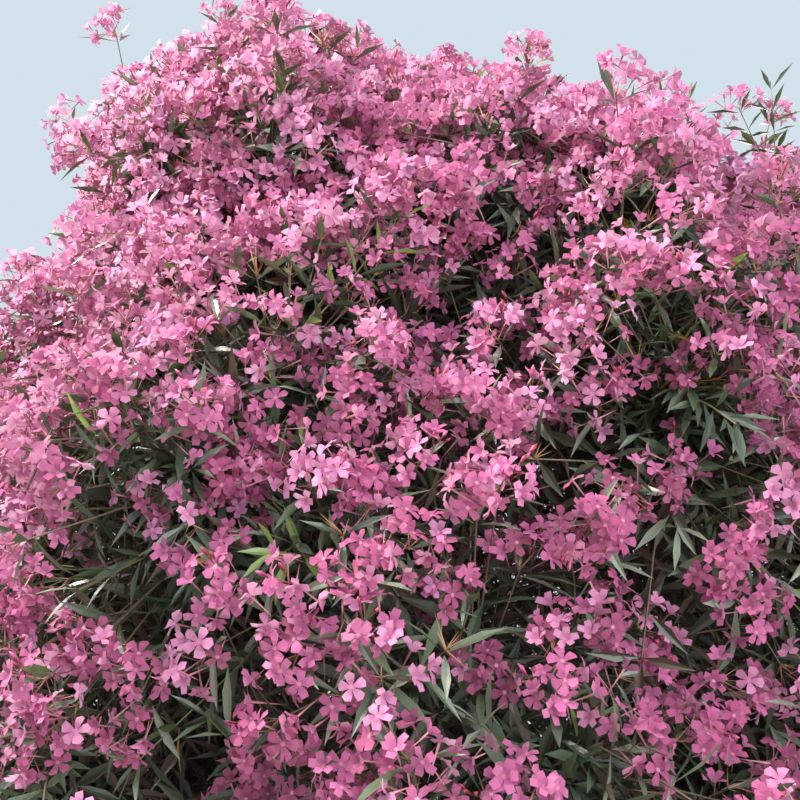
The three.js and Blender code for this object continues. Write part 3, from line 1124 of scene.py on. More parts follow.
class ClayFinish(PatternedFinish):
    """Fired clay with a salt bloom, damp stains towards the foot and fine grit."""

    name = "fired_clay"

    def values(self, shader: Shader) -> dict[str, object]:
        """Pattern the clay.

        Args:
            shader: the shader that it is built in.

        Returns:
            The values and links of the principled shader's sockets.
        """
        plain = shader.place()
        clouds = shader.noise(plain, 3.2, 5.0)
        turning = shader.noise(shader.place(1.0, 1.0, 6.0), 5.0, 3.0)
        grit = shader.noise(plain, 190.0, 3.0, 0.7)
        height = shader.height()
        body = shader.mix(clouds.between(0.3, 0.7), linear("9C5436"), linear("BB7450"))
        turned = shader.mix(turning.between(0.45, 0.75) * 0.35, body, linear("8A452B"))
        bloom = (shader.noise(plain, 4.5, 8.0, 0.6) + height * 0.14).between(0.52, 0.78)
        salted = shader.mix(bloom * 0.34, turned, linear("D2B8A2"))
        damp = (1.0 - height.between(0.0, 0.3)) * clouds.between(0.35, 0.65)
        stained = shader.mix(damp * 0.45, salted, linear("5A3A28"))
        return {
            "Base Color": shader.mix(grit.between(0.62, 0.72) * 0.3, stained, linear("6D3F2A")),
            "Roughness": 0.95 - damp * 0.25,
            "Normal": shader.bump(grit * 0.5 + turning * 0.8, 0.5, 0.0016),
        }


class SoilFinish(PatternedFinish):
    """Dark potting soil, drier and paler on its lumps."""

    name = "potting_soil"

    def values(self, shader: Shader) -> dict[str, object]:
        """Pattern the soil.

        Args:
            shader: the shader that it is built in.

        Returns:
            The values and links of the principled shader's sockets.
        """
        crumbs = shader.noise(shader.place(), 95.0, 8.0, 0.7)
        lumps = shader.noise(shader.place(), 22.0, 4.0)
        body = shader.mix(lumps.between(0.35, 0.7), linear("2E2118"), linear("54402F"))
        return {
            "Base Color": shader.mix(crumbs.between(0.55, 0.75) * 0.7, body, linear("7A634C")),
            "Roughness": 0.95,
            "Normal": shader.bump(crumbs + lumps * 0.6, 0.9, 0.006),
        }


class FloorFinish(PatternedFinish):
    """The studio's pale, matt floor."""

    name = "studio_floor"

    def values(self, shader: Shader) -> dict[str, object]:
        """Return the values and links of the principled shader's sockets."""
        grain = shader.noise(shader.place(), 3.0, 2.0)
        return {"Base Color": shader.mix(grain, linear("8A8883"), linear("92908C")), "Roughness": 0.9}


PETAL_TINTS = (
    PetalTint("pale", "DE94BA", "CE7EA8", "EDC2D8"),
    PetalTint("light", "CE709E", "BC6490", "E5B6CE"),
    PetalTint("rose", "BE608A", "AA567C", "D8A6BE"),
    PetalTint("mauve", "C480AA", "B07098", "D9B0CA"),
    PetalTint("deep", "AA587A", "964C6C", "C592AA"),
)
# The leaves in the depth of the crown are greyer and browner than the outer leaves: painted shade, the dim warm
# light deep in the crown put into their colour.
INNER_LEAF_FINISHES = (
    ThinFinish("leaf_shade", "4C5242", 0.45, 0.08, "62663A"),
    ThinFinish("leaf_brown", "5C5044", 0.55, 0.08, "7A6040"),
)
BUD_FINISHES = (
    (ThinFinish("bud_red", "AA4258", 0.5, 0.1), ThinFinish("bud_stalk_red", "A06A50", 0.6)),
    (ThinFinish("bud_rose", "C66088", 0.5, 0.1), ThinFinish("bud_stalk_rose", "A06A50", 0.6)),
)
GRIT_FINISHES = (
    ThinFinish("grit_bark", "4E3423", 0.9),
    ThinFinish("grit_grey", "857C70", 0.85),
    ThinFinish("grit_white", "C9C2B6", 0.85),
)


class Bark(Enum):
    """The barks of thin stalks."""

    TWIG = ThinFinish("twig_bark", "6C5C4A", 0.8)
    GREEN = ThinFinish("shoot_green", "76784E", 0.6)
    TAN = ThinFinish("stalk_tan", "A67C58", 0.55)


class LeafTint(Enum):
    """The greens of leaves."""

    DARK = ThinFinish("leaf_dark", "485642", 0.4, 0.12, "5C7434", 0.55)
    GREEN = ThinFinish("leaf_green", "5C6A4E", 0.4, 0.14, "6A8440", 0.55)
    GREY = ThinFinish("leaf_grey", "828C78", 0.42, 0.12, "76884E", 0.55)
    FRESH = ThinFinish("leaf_fresh", "8AA45E", 0.42, 0.24, "8EAC40", 0.45)
    OLD = ThinFinish("leaf_old", "A98C3C", 0.5, 0.2, "B9983A")


# Small things that are repeated


@dataclass(frozen=True)
class PetalShape:
    """The outline of a petal: its corners as reach, width and backward bend, and its faces with their zones.

    In a face, -2 and -1 are the petal's two corners on the throat.
    """

    corners: tuple[tuple[float, float, float], ...]
    faces: tuple[tuple[tuple[int, int, int], int], ...]


class PetalOutline(Enum):
    """How finely a petal is cut: round close to the ground, where it is seen from near, and plain high up."""

    ROUND = PetalShape(
        ((0.5, -0.25, 0.0), (0.52, 0.29, 0.0), (0.85, -0.33, 0.1), (1.0, 0.0, 0.3), (0.84, 0.36, 0.2)),
        (((-2, 1, -1), 1), ((-2, 0, 1), 1), ((0, 4, 1), 0), ((0, 3, 4), 0), ((0, 2, 3), 0)),
    )
    SLIM = PetalShape(
        ((0.5, -0.25, 0.0), (0.52, 0.29, 0.0), (0.95, -0.2, 0.2), (0.92, 0.26, 0.2)),
        (((-2, 1, -1), 1), ((-2, 0, 1), 1), ((0, 3, 1), 0), ((0, 2, 3), 0)),
    )
    PLAIN = PetalShape(
        ((0.76, -0.33, 0.0), (1.0, 0.02, 0.3), (0.78, 0.36, 0.1)),
        (((-2, 2, -1), 1), ((-2, 0, 2), 0), ((0, 1, 2), 0)),
    )


@dataclass(frozen=True)
class Flower:
    """A single flower that opens along +Z, its petals set like a windmill about a narrow throat.

    Lengths are shares of the flower's radius.
    """

    cup: float
    seed: int
    outline: PetalOutline
    petals: int = 5
    throat: float = 0.15
    stalk: float = 2.3

    def master(self) -> Object:
        """Make the flower.

        Returns:
            One flower of radius 1, with its throat and its stalk.
        """
        numbers = RepeatableNumbers(self.seed)
        step = FULL_TURN / self.petals
        shell = Shell([heading(step * i) * self.throat for i in range(self.petals)])
        for i in range(self.petals):
            middle = step * (i + 0.5) + numbers.between(-0.09, 0.09)
            along, aside = heading(middle), heading(middle + math.pi / 2.0)
            reach = numbers.between(0.84, 1.1)
            cup = self.cup + numbers.between(-0.24, 0.24)
            twist = numbers.between(0.06, 0.34)
            first, ends = len(shell.points), (i, (i + 1) % self.petals)
            for far, wide, back in self.outline.value.corners:
                lean = cup - back * 0.9
                out = along * (far * reach * math.cos(lean)) + aside * wide
                shell.points.append(out + UP * (far * reach * math.sin(lean) - twist * wide))
            for face, zone in self.outline.value.faces:
                corners = tuple(first + corner if corner >= 0 else ends[corner + 2] for corner in face)
                shell.add_faces([corners], zone)
        shell.add_faces([(0, 1, 2), (0, 2, 3), (0, 3, 4)], 2)
        foot = len(shell.points)
        shell.points += [Vector((-0.08, 0.04, -0.02)), Vector((0.0, -0.09, -0.02)), Vector((0.08, 0.04, -0.02))]
        shell.points.append(-UP * self.stalk)
        shell.add_faces([(foot, foot + 3, foot + 1), (foot + 1, foot + 3, foot + 2)], 3)
        return shell.master("flower_master", True)


@dataclass(frozen=True)
class Leaf:
    """A lance-shaped leaf along +Z, folded on its midrib, with its face towards +Y."""

    width: float = 0.155
    fold: float = 0.03
    droop: float = 0.1

    def master(self, name: str, rows: Sequence[tuple[float, float, float]]) -> Object:
        """Make the leaf from rows of three corners.

        Args:
            name: its name.
            rows: for each row its height, its half width as a share of the leaf's, and its share of the droop.

        Returns:
            One leaf of length 1.
        """
        shell = Shell([Vector()])
        for height, share, bend in rows:
            middle = Vector((0.0, -self.droop * bend, height))
            half = Vector((self.width * share, 0.0, 0.0))
            lift = Vector((0.0, self.fold, 0.0))
            shell.points += [middle + lift - half, middle, middle + lift + half]
        tip = len(shell.points)
        shell.points.append(Vector((0.0, -self.droop, 1.0)))
        shell.add_faces([(0, 1, 2), (0, 2, 3)])
        for i in range(1, tip - 3, 3):
            shell.add_faces([(i, i + 3, i + 4, i + 1), (i + 1, i + 4, i + 5, i + 2)])
        shell.add_faces([(tip - 3, tip, tip - 2), (tip - 2, tip, tip - 1)])
        return shell.master(name)

    def folded_master(self) -> Object:
        """Make a leaf for the depth of the crown.

        Returns:
            One leaf of length 1 as two faces that meet at its midrib.
        """
        half = self.width * 0.58
        low = -self.droop * 0.25 + self.fold * 1.6
        left, right = (Vector((aside, low, 0.46)) for aside in (-half, half))
        shell = Shell([Vector(), left, Vector((0.0, -self.droop, 1.0)), right])
        shell.add_faces([(0, 1, 2), (0, 2, 3)])
        return shell.master("folded_leaf_master")


@dataclass(frozen=True)
class Bud:
    """A slim bud along +Z, rolled to a point, on its stalk."""

    girth: float = 0.17
    stalk: float = 1.5
    sides: int = 3

    def master(self) -> Object:
        """Make the bud.

        Returns:
            One bud of length 1.
        """
        shell = Shell([Vector((0.0, 0.0, -0.05))])
        for height, share, twist in ((0.2, 0.6, 0.0), (0.66, 1.0, 0.6)):
            ring = [heading(twist + turn) * self.girth * share for turn in ring_turns(self.sides)]
            shell.points += [point + UP * height for point in ring]
        shell.points.append(UP.copy())
        low, high = 1, 1 + self.sides
        for i in range(self.sides):
            j = (i + 1) % self.sides
            shell.add_faces([(0, low + j, low + i), (low + i, low + j, high + j, high + i)])
            shell.add_faces([(high + i, high + j, high + self.sides)])
        shell.add_spike(UP * 0.1, -UP * self.stalk, 0.07, 1)
        return shell.master("bud_master", True)


# The crown


LEAFY_PATCHES = (
    (Vector((-0.70, -0.67, 2.51)), 0.2),
    (Vector((-0.36, -1.2, 1.86)), 0.12),
    (Vector((0.02, -1.2, 1.5)), 0.14),
    (Vector((0.4, -1.15, 1.8)), 0.12),
    (Vector((0.75, -0.85, 2.5)), 0.2),
    (Vector((1.05, 0.6, 2.3)), 0.22),
    (Vector((-0.3, 1.2, 2.6)), 0.22),
    (Vector((-1.2, 0.5, 2.0)), 0.2),
    (Vector((0.5, 1.15, 1.7)), 0.2),
)
LONG_SPRAYS = {
    (Tier.SHOULDER, 0): ((0.95, 0.5, 3.32), (0.75, 0.72, 3.36)),
    (Tier.SHOULDER, 1): ((0.1, 0.95, 3.4),),
    (Tier.SHOULDER, 2): ((-0.7, 0.85, 3.34), (-0.95, 0.6, 3.25)),
    (Tier.SHOULDER, 3): ((-1.16, -0.62, 2.84), (-1.07, -0.7, 2.68), (-1.04, -0.5, 2.94), (-1.24, -0.45, 2.9)),
    (Tier.SHOULDER, 5): ((0.58, -0.72, 3.26), (0.25, -0.8, 3.44), (0.2, -0.78, 3.36)),
    (Tier.SHOULDER, 6): (
        (0.66, -0.7, 3.44), (0.8, -0.6, 3.54), (0.9, -0.7, 3.4),
        (0.85, -0.6, 3.36), (1.0, -0.72, 3.46), (1.1, -0.5, 3.56),
    ),
    (Tier.DOME, 1): ((-0.7, 0.35, 3.9),),
    (Tier.DOME, 2): ((-0.7, -0.42, 3.96), (-0.92, -0.4, 3.95), (-1.14, -0.3, 3.86)),
    (Tier.DOME, 3): ((-0.26, -0.5, 3.88), (-0.36, -0.5, 3.84)),
}
# How often each tint comes, by its number
HEAD_TINTS = (0.19, 0.34, 0.32, 0.02, 0.13)
FLOWER_TINTS = (0.22, 0.32, 0.3, 0.04, 0.12)
SHOOT_TINTS = (0.5, 0.3, 0.2)
LEAF_TINTS = (0.45, 0.3, 0.2, 0.02, 0.03)
# Where fewer shoots grow
OPENING = Vector((-1.21, -0.49, 2.98))
OPENING_REACH = 0.25
OPENING_SHARE = 0.28
UNDERSIDE_SHARE = 0.6
Foot = tuple[Vector, Vector]


@dataclass(frozen=True)
class SurfacePlace:
    """A place in the crown's surface, how it faces, and how deep in a hollow it is, from 0 to 1."""

    point: Vector
    normal: Vector
    hollow: float


@dataclass
class CrownShape:
    """The outer surface of the crown: all the rounded masses, blended where they meet."""

    spaces: list[MassSpace]
    box: tuple[Vector, Vector]
    sharpness: float = 3.8
    scale: float = 0.93
    longest: float = 1.4
    steps: int = 46
    rays_a_mass: int = 500
    rays_from_middle: int = 16000
    middle_height: float = 2.35

    def __post_init__(self) -> None:
        """Keep the masses' centres and radii as arrays."""
        self.centres = np.array([tuple(space.centre) for space in self.spaces])
        self.radii = np.array([(space.radius, space.radius, space.rise) for space in self.spaces]) * self.scale

    def surface_along(self, space: MassSpace, aim: Vector) -> float | None:
        """Find the surface from a mass's centre along a direction.

        Args:
            space: the mass.
            aim: a unit direction.

        Returns:
            How far the surface is, or None where the direction stays within the crown.
        """
        walked = np.linspace(0.6, self.longest, self.steps) * space.reach(aim)[1]
        outside = np.nonzero(self.fullness(space.centre, aim, walked) < 1.0)[0]
        return float(walked[outside[0]]) if len(outside) else None

    def fullness(self, start: Vector, way: Vector, walked: np.ndarray) -> np.ndarray:
        """Return how far inside the crown each point of a ray is: over 1 within it, under 1 outside."""
        points = np.array(tuple(start)) + walked[:, None] * np.array(tuple(way))
        return np.exp(self.sharpness * (1.0 - self.ratios(points))).sum(axis=1)

    def ratios(self, points: np.ndarray) -> np.ndarray:
        """Return how far each point is from each mass's centre, as a share of the mass's own size that way."""
        return np.linalg.norm((points[:, None, :] - self.centres[None, :, :]) / self.radii[None, :, :], axis=2)

    def surface_points(self) -> Iterator[Vector]:
        """Yield points of the surface, as met from each mass's centre and then from outside."""
        for space in self.spaces:
            for aim in even_directions(self.rays_a_mass):
                surface = self.surface_along(space, aim)
                if surface is not None:
                    yield space.centre + aim * surface
        middle = UP * self.middle_height
        walked = np.linspace(2.3, 0.5, 90)
        for aim in even_directions(self.rays_from_middle):
            inside = np.nonzero(self.fullness(middle, aim, walked) >= 1.0)[0]
            if aim.z > -0.7 and len(inside):
                yield middle + aim * float(walked[inside[0]])

    def spread_places(self) -> list[list[SurfacePlace]]:
        """Spread places evenly over the surface.

        Returns:
            For each mass, the places that are nearest to it.
        """
        cell = max(habit.spacing for habit in SHOOTS.values())
        near = (-1, 0, 1)
        taken: dict[tuple[int, ...], list[Vector]] = {}
        given: list[list[SurfacePlace]] = [[] for _ in self.spaces]
        for point in self.surface_points():
            number, place = self.place_at(point)
            x, y, z = (math.floor(value / cell) for value in point)
            spacing = SHOOTS[self.spaces[number].tier].spacing
            cells = ((x + i, y + j, z + k) for i in near for j in near for k in near)
            if any((point - other).length < spacing for key in cells for other in taken.get(key, ())):
                continue
            out = Vector((point.x, point.y, 0.0)).normalized()
            ways = (place.normal, place.normal + out * 0.8, out, out - UP * 0.5, out + UP)
            if any(self.is_open(point, way.normalized()) for way in ways):
                taken.setdefault((x, y, z), []).append(point)
                given[number].append(place)
        return given

    def place_at(self, point: Vector) -> tuple[int, SurfacePlace]:
        """Find the mass that a point of the surface is nearest to.

        Args:
            point: the point.

        Returns:
            The mass's number, and the place at the point.
        """
        where = np.array(tuple(point))
        ratio = self.ratios(where[None, :])[0]
        weight = np.exp(self.sharpness * (1.0 - ratio)) / ratio
        slope = ((where - self.centres) / self.radii**2 * weight[:, None]).sum(axis=0)
        nearest = int(ratio.argmin())
        hollow = min(1.0, max(0.0, float(ratio[nearest]) - 1.03) * 6.0)
        return nearest, SurfacePlace(point, Vector(slope).normalized(), hollow)

    def is_open(self, point: Vector, way: Vector) -> bool:
        """Tell whether a direction from a point of the surface leaves the crown for good."""
        walked = np.linspace(0.12, self.longest, self.steps // 2)
        return bool((self.fullness(point, way, walked) < 1.0).all())

    def clump_at(self, point: Vector) -> float:
        """Return how far the heads of flowers bunch outward at a point, from about -0.6 to 0.6."""
        return noise.noise(point * 3.1) + 0.35 * noise.noise(point * 7.3 + Vector((4.2, 0.6, 9.1)))

    def held(self, point: Vector, inset: float) -> Vector:
        """Return the nearest point that is so far inside the object's box."""
        low, high = self.box
        return Vector([min(max(point[i], low[i] + inset), high[i] - inset) for i in range(3)])


@dataclass
class Shoot:
    """One shoot: its course, whether it flowers, and how deep in a hollow it stands, from 0 to 1."""

    route: Route
    flowers: bool
    hollow: float = 0.0


@dataclass
class Growth:
    """What the crown's masses grow, by kind."""

    strands: Strands = field(default_factory=Strands)
    leaves: Places = field(default_factory=Places)
    inner_leaves: Places = field(default_factory=Places)
    flowers: Places = field(default_factory=Places)
    buds: Places = field(default_factory=Places)
    stalks: Places = field(default_factory=Places)


@dataclass
class MassGrowth:
    """Everything that grows in one mass of foliage."""

    space: MassSpace
    shape: CrownShape
    bough: Limb
    numbers: RepeatableNumbers
    start_turn: float
    places: list[SurfacePlace]
    growth: Growth
    inner_shoots: int = 118
    twigs: int = 7
    head_depth: float = 0.09
    inset: float = 0.045
    spent_share: float = 0.035
    bud_share: float = 0.1
    stem_tip: float = 0.0046
    twig_radii: tuple[float, float] = (0.0052, 0.0028)
    shoot_radii: tuple[float, float] = (0.0027, 0.0016)
    inner_radii: tuple[float, float] = (0.0034, 0.0018)
    leaf_lengths: tuple[float, float] = (0.082, 0.125)
    inner_leaf_lengths: tuple[float, float] = (0.09, 0.13)
    flower_sizes: tuple[float, float] = (0.0194, 0.0242)
    bud_lengths: tuple[float, float] = (0.016, 0.028)
    branch_lengths: tuple[float, float] = (0.016, 0.042)
    spent_lengths: tuple[float, float] = (0.035, 0.07)
    flower_gaps: tuple[float, float] = (0.028, 0.052)

    def grow(self) -> None:
        """Grow the mass's stem, its twigs and its shoots."""
        stem = self.lay_stem()
        feet = self.feet_along(stem, 0.25, 0.95)
        for index in range(self.twigs):
            feet += self.feet_along(self.lay_twig(stem, index), 0.3, 0.96)
        for place in self.places:
            is_under = self.space.tier is Tier.SKIRT and place.normal.z < -0.6
            share = UNDERSIDE_SHARE if is_under else 1.0
            share = OPENING_SHARE if (place.point - OPENING).length < OPENING_REACH else share
            if share == 1.0 or self.numbers.next() < share:
                self.dress_shoot(self.lay_outer_shoot(place, feet), 3 if place.hollow < 0.4 else 2)
        for aim in even_directions(self.inner_shoots, self.start_turn + 2.0):
            self.leaf_inner_shoot(self.lay_inner_shoot(aim, feet))
        for tip in LONG_SPRAYS.get((self.space.tier, self.space.index), ()):
            end = self.shape.held(Vector(tip), self.inset)
            route = self.route_to(end, (end - self.space.centre).normalized(), feet)
            self.dress_shoot(Shoot(route, self.numbers.next() < 0.85), 5)

    def dress_shoot(self, shoot: Shoot, whorls: int) -> None:
        """Give a shoot its bark, its leaves and, where it flowers, its head of flowers.

        Args:
            shoot: the shoot.
            whorls: how many whorls of leaves it has.
        """
        self.add_stalk(shoot.route, 2, self.shoot_radii, Bark.TWIG if shoot.flowers else Bark.GREEN)
        self.leaf_shoot(shoot, whorls)
        if shoot.flowers and self.numbers.next() < self.spent_share:
            self.leave_spent_head(shoot)
        elif shoot.flowers:
            self.open_head(shoot)

    def is_near(self) -> bool:
        """Tell whether the mass is low at the front, where it is seen from near."""
        return self.space.tier in (Tier.SKIRT, Tier.BELT) and self.space.centre.y < 0.0

    def lay_stem(self) -> Route:
        """Lay the mass's stem.

        Returns:
            The stem, which goes on from the bough's tip.
        """
        space = self.space
        top = space.centre + space.outward * space.radius * 0.12 + UP * space.rise * 0.3
        arrive = (UP + space.outward * 0.3).normalized()
        route = Route(self.bough.route.point(1.0), self.bough.arrive, top, arrive)
        self.add_stalk(route, 8, (self.bough.radius_at(1.0), self.stem_tip))
        return route

    def lay_twig(self, stem: Route, index: int) -> Route:
        """Lay one of the twigs that the source gives the mass.

        Args:
            stem: the mass's stem.
            index: the twig's number.

        Returns:
            The twig.
        """
        space = self.space
        share = (index + 0.5) / self.twigs
        rises = mix(-0.55, 0.92, share)
        way = heading(self.start_turn + GOLDEN_TURN * index) * math.sqrt(1.0 - rises * rises)
        way = (way + UP * rises + space.outward * 0.35).normalized()
        foot = stem.point(0.22 + 0.76 * share)
        leave = (way + stem.way(0.22 + 0.76 * share) * 0.5).normalized()
        end = space.centre + way * 0.8 * space.reach(way)[0]
        arrive = ((end - foot).normalized() + way * 0.6).normalized()
        route = Route(foot, leave, end, arrive, 0.3)
        self.add_stalk(route, 6, self.twig_radii)
        return route

    def lay_outer_shoot(self, place: SurfacePlace, feet: list[Foot]) -> Shoot:
        """Lay a shoot to its place in the crown's surface.

        Args:
            place: the place.
            feet: points and directions on the twigs, where a shoot can start.

        Returns:
            The shoot, which ends a head's depth below the surface, a little more or less.
        """
        habit = SHOOTS[self.space.tier]
        chance, drawn = self.numbers.next(), self.numbers.next()
        clump = self.shape.clump_at(place.point)
        depth = self.head_depth * (1.0 - 0.95 * place.hollow) + mix(0.08, 0.04, place.hollow) * drawn * drawn
        depth -= clump * habit.clump_depth + place.hollow * habit.hollow_rise
        depth -= self.numbers.between(0.015, 0.1) if chance < 0.16 else 0.0
        depth -= self.numbers.between(0.08, 0.2) if chance > 0.97 else 0.0
        end = self.shape.held(place.point - place.normal * depth + self.numbers.offset(0.02), self.inset)
        return Shoot(self.route_to(end, place.normal, feet), not self.is_leafy_at(end, clump), place.hollow)

    def lay_inner_shoot(self, aim: Vector, feet: list[Foot]) -> Route:
        """Lay a leafy shoot in the depth of the mass.

        Args:
            aim: the unit direction that it goes to, roughly.
            feet: points and directions on the twigs, where a shoot can start.

        Returns:
            The shoot's course.
        """
        aim = (aim + self.numbers.offset(0.12)).normalized()
        surface = self.shape.surface_along(self.space, aim)
        cut, full = self.space.reach(aim)
        if surface is None:
            depth = cut * self.numbers.between(0.55, 1.6)
        else:
            depth = min(surface, full * self.shape.scale) * self.numbers.between(0.42, 0.74)
        route = self.route_to(self.space.centre + aim * depth, aim, feet)
        self.add_stalk(route, 2, self.inner_radii)
        return route

    def route_to(self, end: Vector, aim: Vector, feet: list[Foot]) -> Route:
        """Find the course of a shoot from the best foot to its end.

        Args:
            end: where the shoot ends.
            aim: the direction that its tip should lean to.
            feet: points and directions on the twigs, where it can start.

        Returns:
            The course.
        """

        def cost(foot: Foot) -> float:
            """Weigh how ill a foot suits the shoot.

            Args:
                foot: the foot's point and direction.

            Returns:
                Its cost.
            """
            gap = end - foot[0]
            size = gap.length
            return size * (1.6 - foot[1].dot(gap) / max(size, 1e-6)) + (0.6 if size < 0.1 else 0.0)

        start, way = min(feet, key=cost)
        towards = (end - start).normalized()
        leave = (way * 0.8 + towards).normalized()
        arrive = (towards + aim * 0.5 + UP * (0.35 if aim.z > 0.0 else 0.05)).normalized()
        return Route(start, leave, end, arrive, 0.34)

    def is_leafy_at(self, point: Vector, clump: float) -> bool:
        """Tell whether a shoot carries leaves only.

        Args:
            point: where it ends.
            clump: how far the heads of flowers bunch out there.

        Returns:
            Whether it has no flowers.
        """
        for centre, radius in LEAFY_PATCHES:
            if (point - centre).length < radius and self.numbers.next() < 0.75:
                return True
        drift = noise.noise(point * 1.9 + Vector((3.1, 7.7, 1.3)))
        dent = SHOOTS[self.space.tier].leafy_dents * max(0.0, -0.12 - clump)
        return self.numbers.next() < 0.03 + 0.18 * max(0.0, drift) + dent

    def feet_along(self, route: Route, low: float, high: float, count: int = 6) -> list[Foot]:
        """Return points and directions along a route."""
        shares = [mix(low, high, i / (count - 1)) for i in range(count)]
        return [(route.point(share), route.way(share)) for share in shares]

    def add_stalk(self, route: Route, pieces: int, radii: tuple[float, float], bark: Bark = Bark.TWIG) -> None:
        """Add a route to the stalks.

        Args:
            route: its course.
            pieces: how many straight pieces it has.
            radii: its radii at foot and tip.
            bark: its bark.
        """
        shares = [i / pieces for i in range(pieces + 1)]
        points = [route.point(share) for share in shares]
        self.growth.strands.add(points, [mix(*radii, share) for share in shares], list(Bark).index(bark))

    def whorl(self, places: Places, route: Route, share: float, turn: float, lift: float,
              sizes: tuple[float, float], tint: Callable[[], int]) -> None:
        """Set a whorl of three leaves on a shoot.

        Args:
            places: where the leaves are kept.
            route: the shoot's course.
            share: how far along it the whorl is.
            turn: the angle of its first leaf.
            lift: the angle between the shoot and its leaves.
            sizes: the least and the greatest length of a leaf.
            tint: gives the next leaf's tint.
        """
        point, way = route.point(share), route.way(share)
        first, second = square_to(way, UP)
        for leaf, leaf_turn in enumerate(ring_turns(3)):
            kind = 1 if places is self.growth.leaves and (leaf == 1 or not self.is_near()) else 0
            angle = turn + leaf_turn
            outward = first * math.cos(angle) + second * math.sin(angle)
            along = way * math.cos(lift) + outward * math.sin(lift) - UP * 0.12 + self.numbers.offset(0.1)
            face = (way + UP * 0.6 + self.numbers.offset(0.25)).normalized()
            size = self.numbers.between(*sizes)
            places.add(point + outward * 0.002, along.normalized(), face, size, tint(), kind)

    def leaf_shoot(self, shoot: Shoot, whorls: int) -> None:
        """Set whorls of leaves along the outer part of a shoot.

        Args:
            shoot: the shoot.
            whorls: how many whorls it has.
        """
        numbers, route = self.numbers, shoot.route
        fresh = not shoot.flowers and numbers.next() < 0.16
        main = list(LeafTint).index(LeafTint.FRESH) if fresh else numbers.pick(SHOOT_TINTS)

        def tint() -> int:
            """Return the next leaf's tint, which is mostly the shoot's own."""
            return main if numbers.next() < 0.8 else numbers.pick(LEAF_TINTS)

        count = whorls if shoot.flowers else max(whorls, 5)
        reach = min(0.85, 0.045 * count / max(route.length, 0.05) + 0.25)
        for number in range(count):
            young = number / (count - 1) * (0.35 if shoot.flowers else 1.0)
            share = 1.0 - reach * (1.0 - number / (count - 1)) - (0.04 if shoot.flowers else 0.0)
            turn = self.start_turn + number * math.pi / 3.0 + numbers.between(-0.25, 0.25)
            lift = mix(1.3, 0.55, young) + numbers.between(-0.12, 0.12)
            small = 1.0 - 0.25 * young
            sizes = (self.leaf_lengths[0] * small, self.leaf_lengths[1] * small)
            self.whorl(self.growth.leaves, route, share, turn, lift, sizes, tint)

    def leaf_inner_shoot(self, route: Route) -> None:
        """Set whorls of broad leaves along a shoot in the depth of the crown.

        Args:
            route: the shoot's course.
        """

        def tint() -> int:
            """Return the next leaf's tint."""
            return self.numbers.pick((0.7, 0.3))

        for number in range(5):
            turn = number * math.pi / 3.0 + self.numbers.between(-0.3, 0.3)
            lift = self.numbers.between(0.8, 1.4)
            share = mix(0.25, 1.0, number / 4)
            self.whorl(self.growth.inner_leaves, route, share, turn, lift, self.inner_leaf_lengths, tint)

    def head_axis(self, shoot: Shoot) -> Vector:
        """Find the way that a shoot's head of flowers faces.

        Args:
            shoot: the shoot.

        Returns:
            The unit direction.
        """
        way = shoot.route.way(1.0)
        lift = UP * (0.15 if way.z > 0.0 else -0.15)
        return (way + lift + self.space.outward * 0.3 + self.numbers.offset(0.2)).normalized()

    def leave_spent_head(self, shoot: Shoot) -> None:
        """Leave the bare stalks of a head whose flowers have dropped.

        Args:
            shoot: the shoot.
        """
        base, axis = shoot.route.point(1.0), self.head_axis(shoot)
        for _ in range(7):
            way = (axis + self.numbers.offset(0.75)).normalized()
            self.growth.stalks.add(base, way, UP, self.numbers.between(*self.spent_lengths))

    def open_head(self, shoot: Shoot) -> None:
        """Open a head of flowers at the tip of a shoot: four or five branches, each with its own few.

        Args:
            shoot: the shoot.
        """
        numbers = self.numbers
        base, axis = shoot.route.point(1.0), self.head_axis(shoot)
        first, second = square_to(axis, UP)
        main = numbers.pick(HEAD_TINTS)
        head_turn = numbers.between(0.0, FULL_TURN)
        for branch_turn in ring_turns(4 if shoot.hollow < 0.4 else 5):
            angle = head_turn + branch_turn + numbers.between(-0.4, 0.4)
            spread = numbers.between(0.35, 1.05)
            aside = first * math.cos(angle) + second * math.sin(angle)
            way = (axis * math.cos(spread) + aside * math.sin(spread)).normalized()
            length = numbers.between(*self.branch_lengths)
            node = base + way * length
            self.growth.stalks.add(base, way, UP, length * 1.3)
            around, across = square_to(way, aside)
            for flower_turn in ring_turns(2 + int(numbers.next() * 2.4)):
                turn = angle + flower_turn + numbers.between(-0.5, 0.5)
                lean = numbers.between(0.3, 1.0)
                out = around * math.cos(turn) + across * math.sin(turn)
                self.open_flower(node, way * math.cos(lean) + out * math.sin(lean), main)
            if numbers.next() < self.bud_share:
                self.set_buds(node, way)

    def open_flower(self, node: Vector, away: Vector, main: int) -> None:
        """Open one flower beside a branch's tip.

        Args:
            node: the branch's tip.
            away: the unit direction from it to the flower.
            main: the head's own tint.
        """
        numbers = self.numbers
        place = node + away * numbers.between(*self.flower_gaps)
        facing = (away + self.space.outward * 0.2 + numbers.offset(0.75)).normalized()
        size = numbers.between(*self.flower_sizes) * SHOOTS[self.space.tier].bloom
        tint = main if numbers.next() < 0.7 else numbers.pick(FLOWER_TINTS)
        kind = numbers.pick((0.36, 0.4, 0.24)) + (0 if self.is_near() else 3)
        self.growth.flowers.add(place, facing, numbers.offset(1.0), size, tint, kind)

    def set_buds(self, node: Vector, way: Vector) -> None:
        """Set two or three buds at a branch's tip.

        Args:
            node: the branch's tip.
            way: the branch's unit direction.
        """
        numbers = self.numbers
        for _ in range(2 + int(numbers.next() * 2.0)):
            along = (way + UP * 0.2 + numbers.offset(0.45)).normalized()
            length = numbers.between(*self.bud_lengths)
            self.growth.buds.add(node + along * length * 1.5, along, UP, length, numbers.pick((0.6, 0.4)))


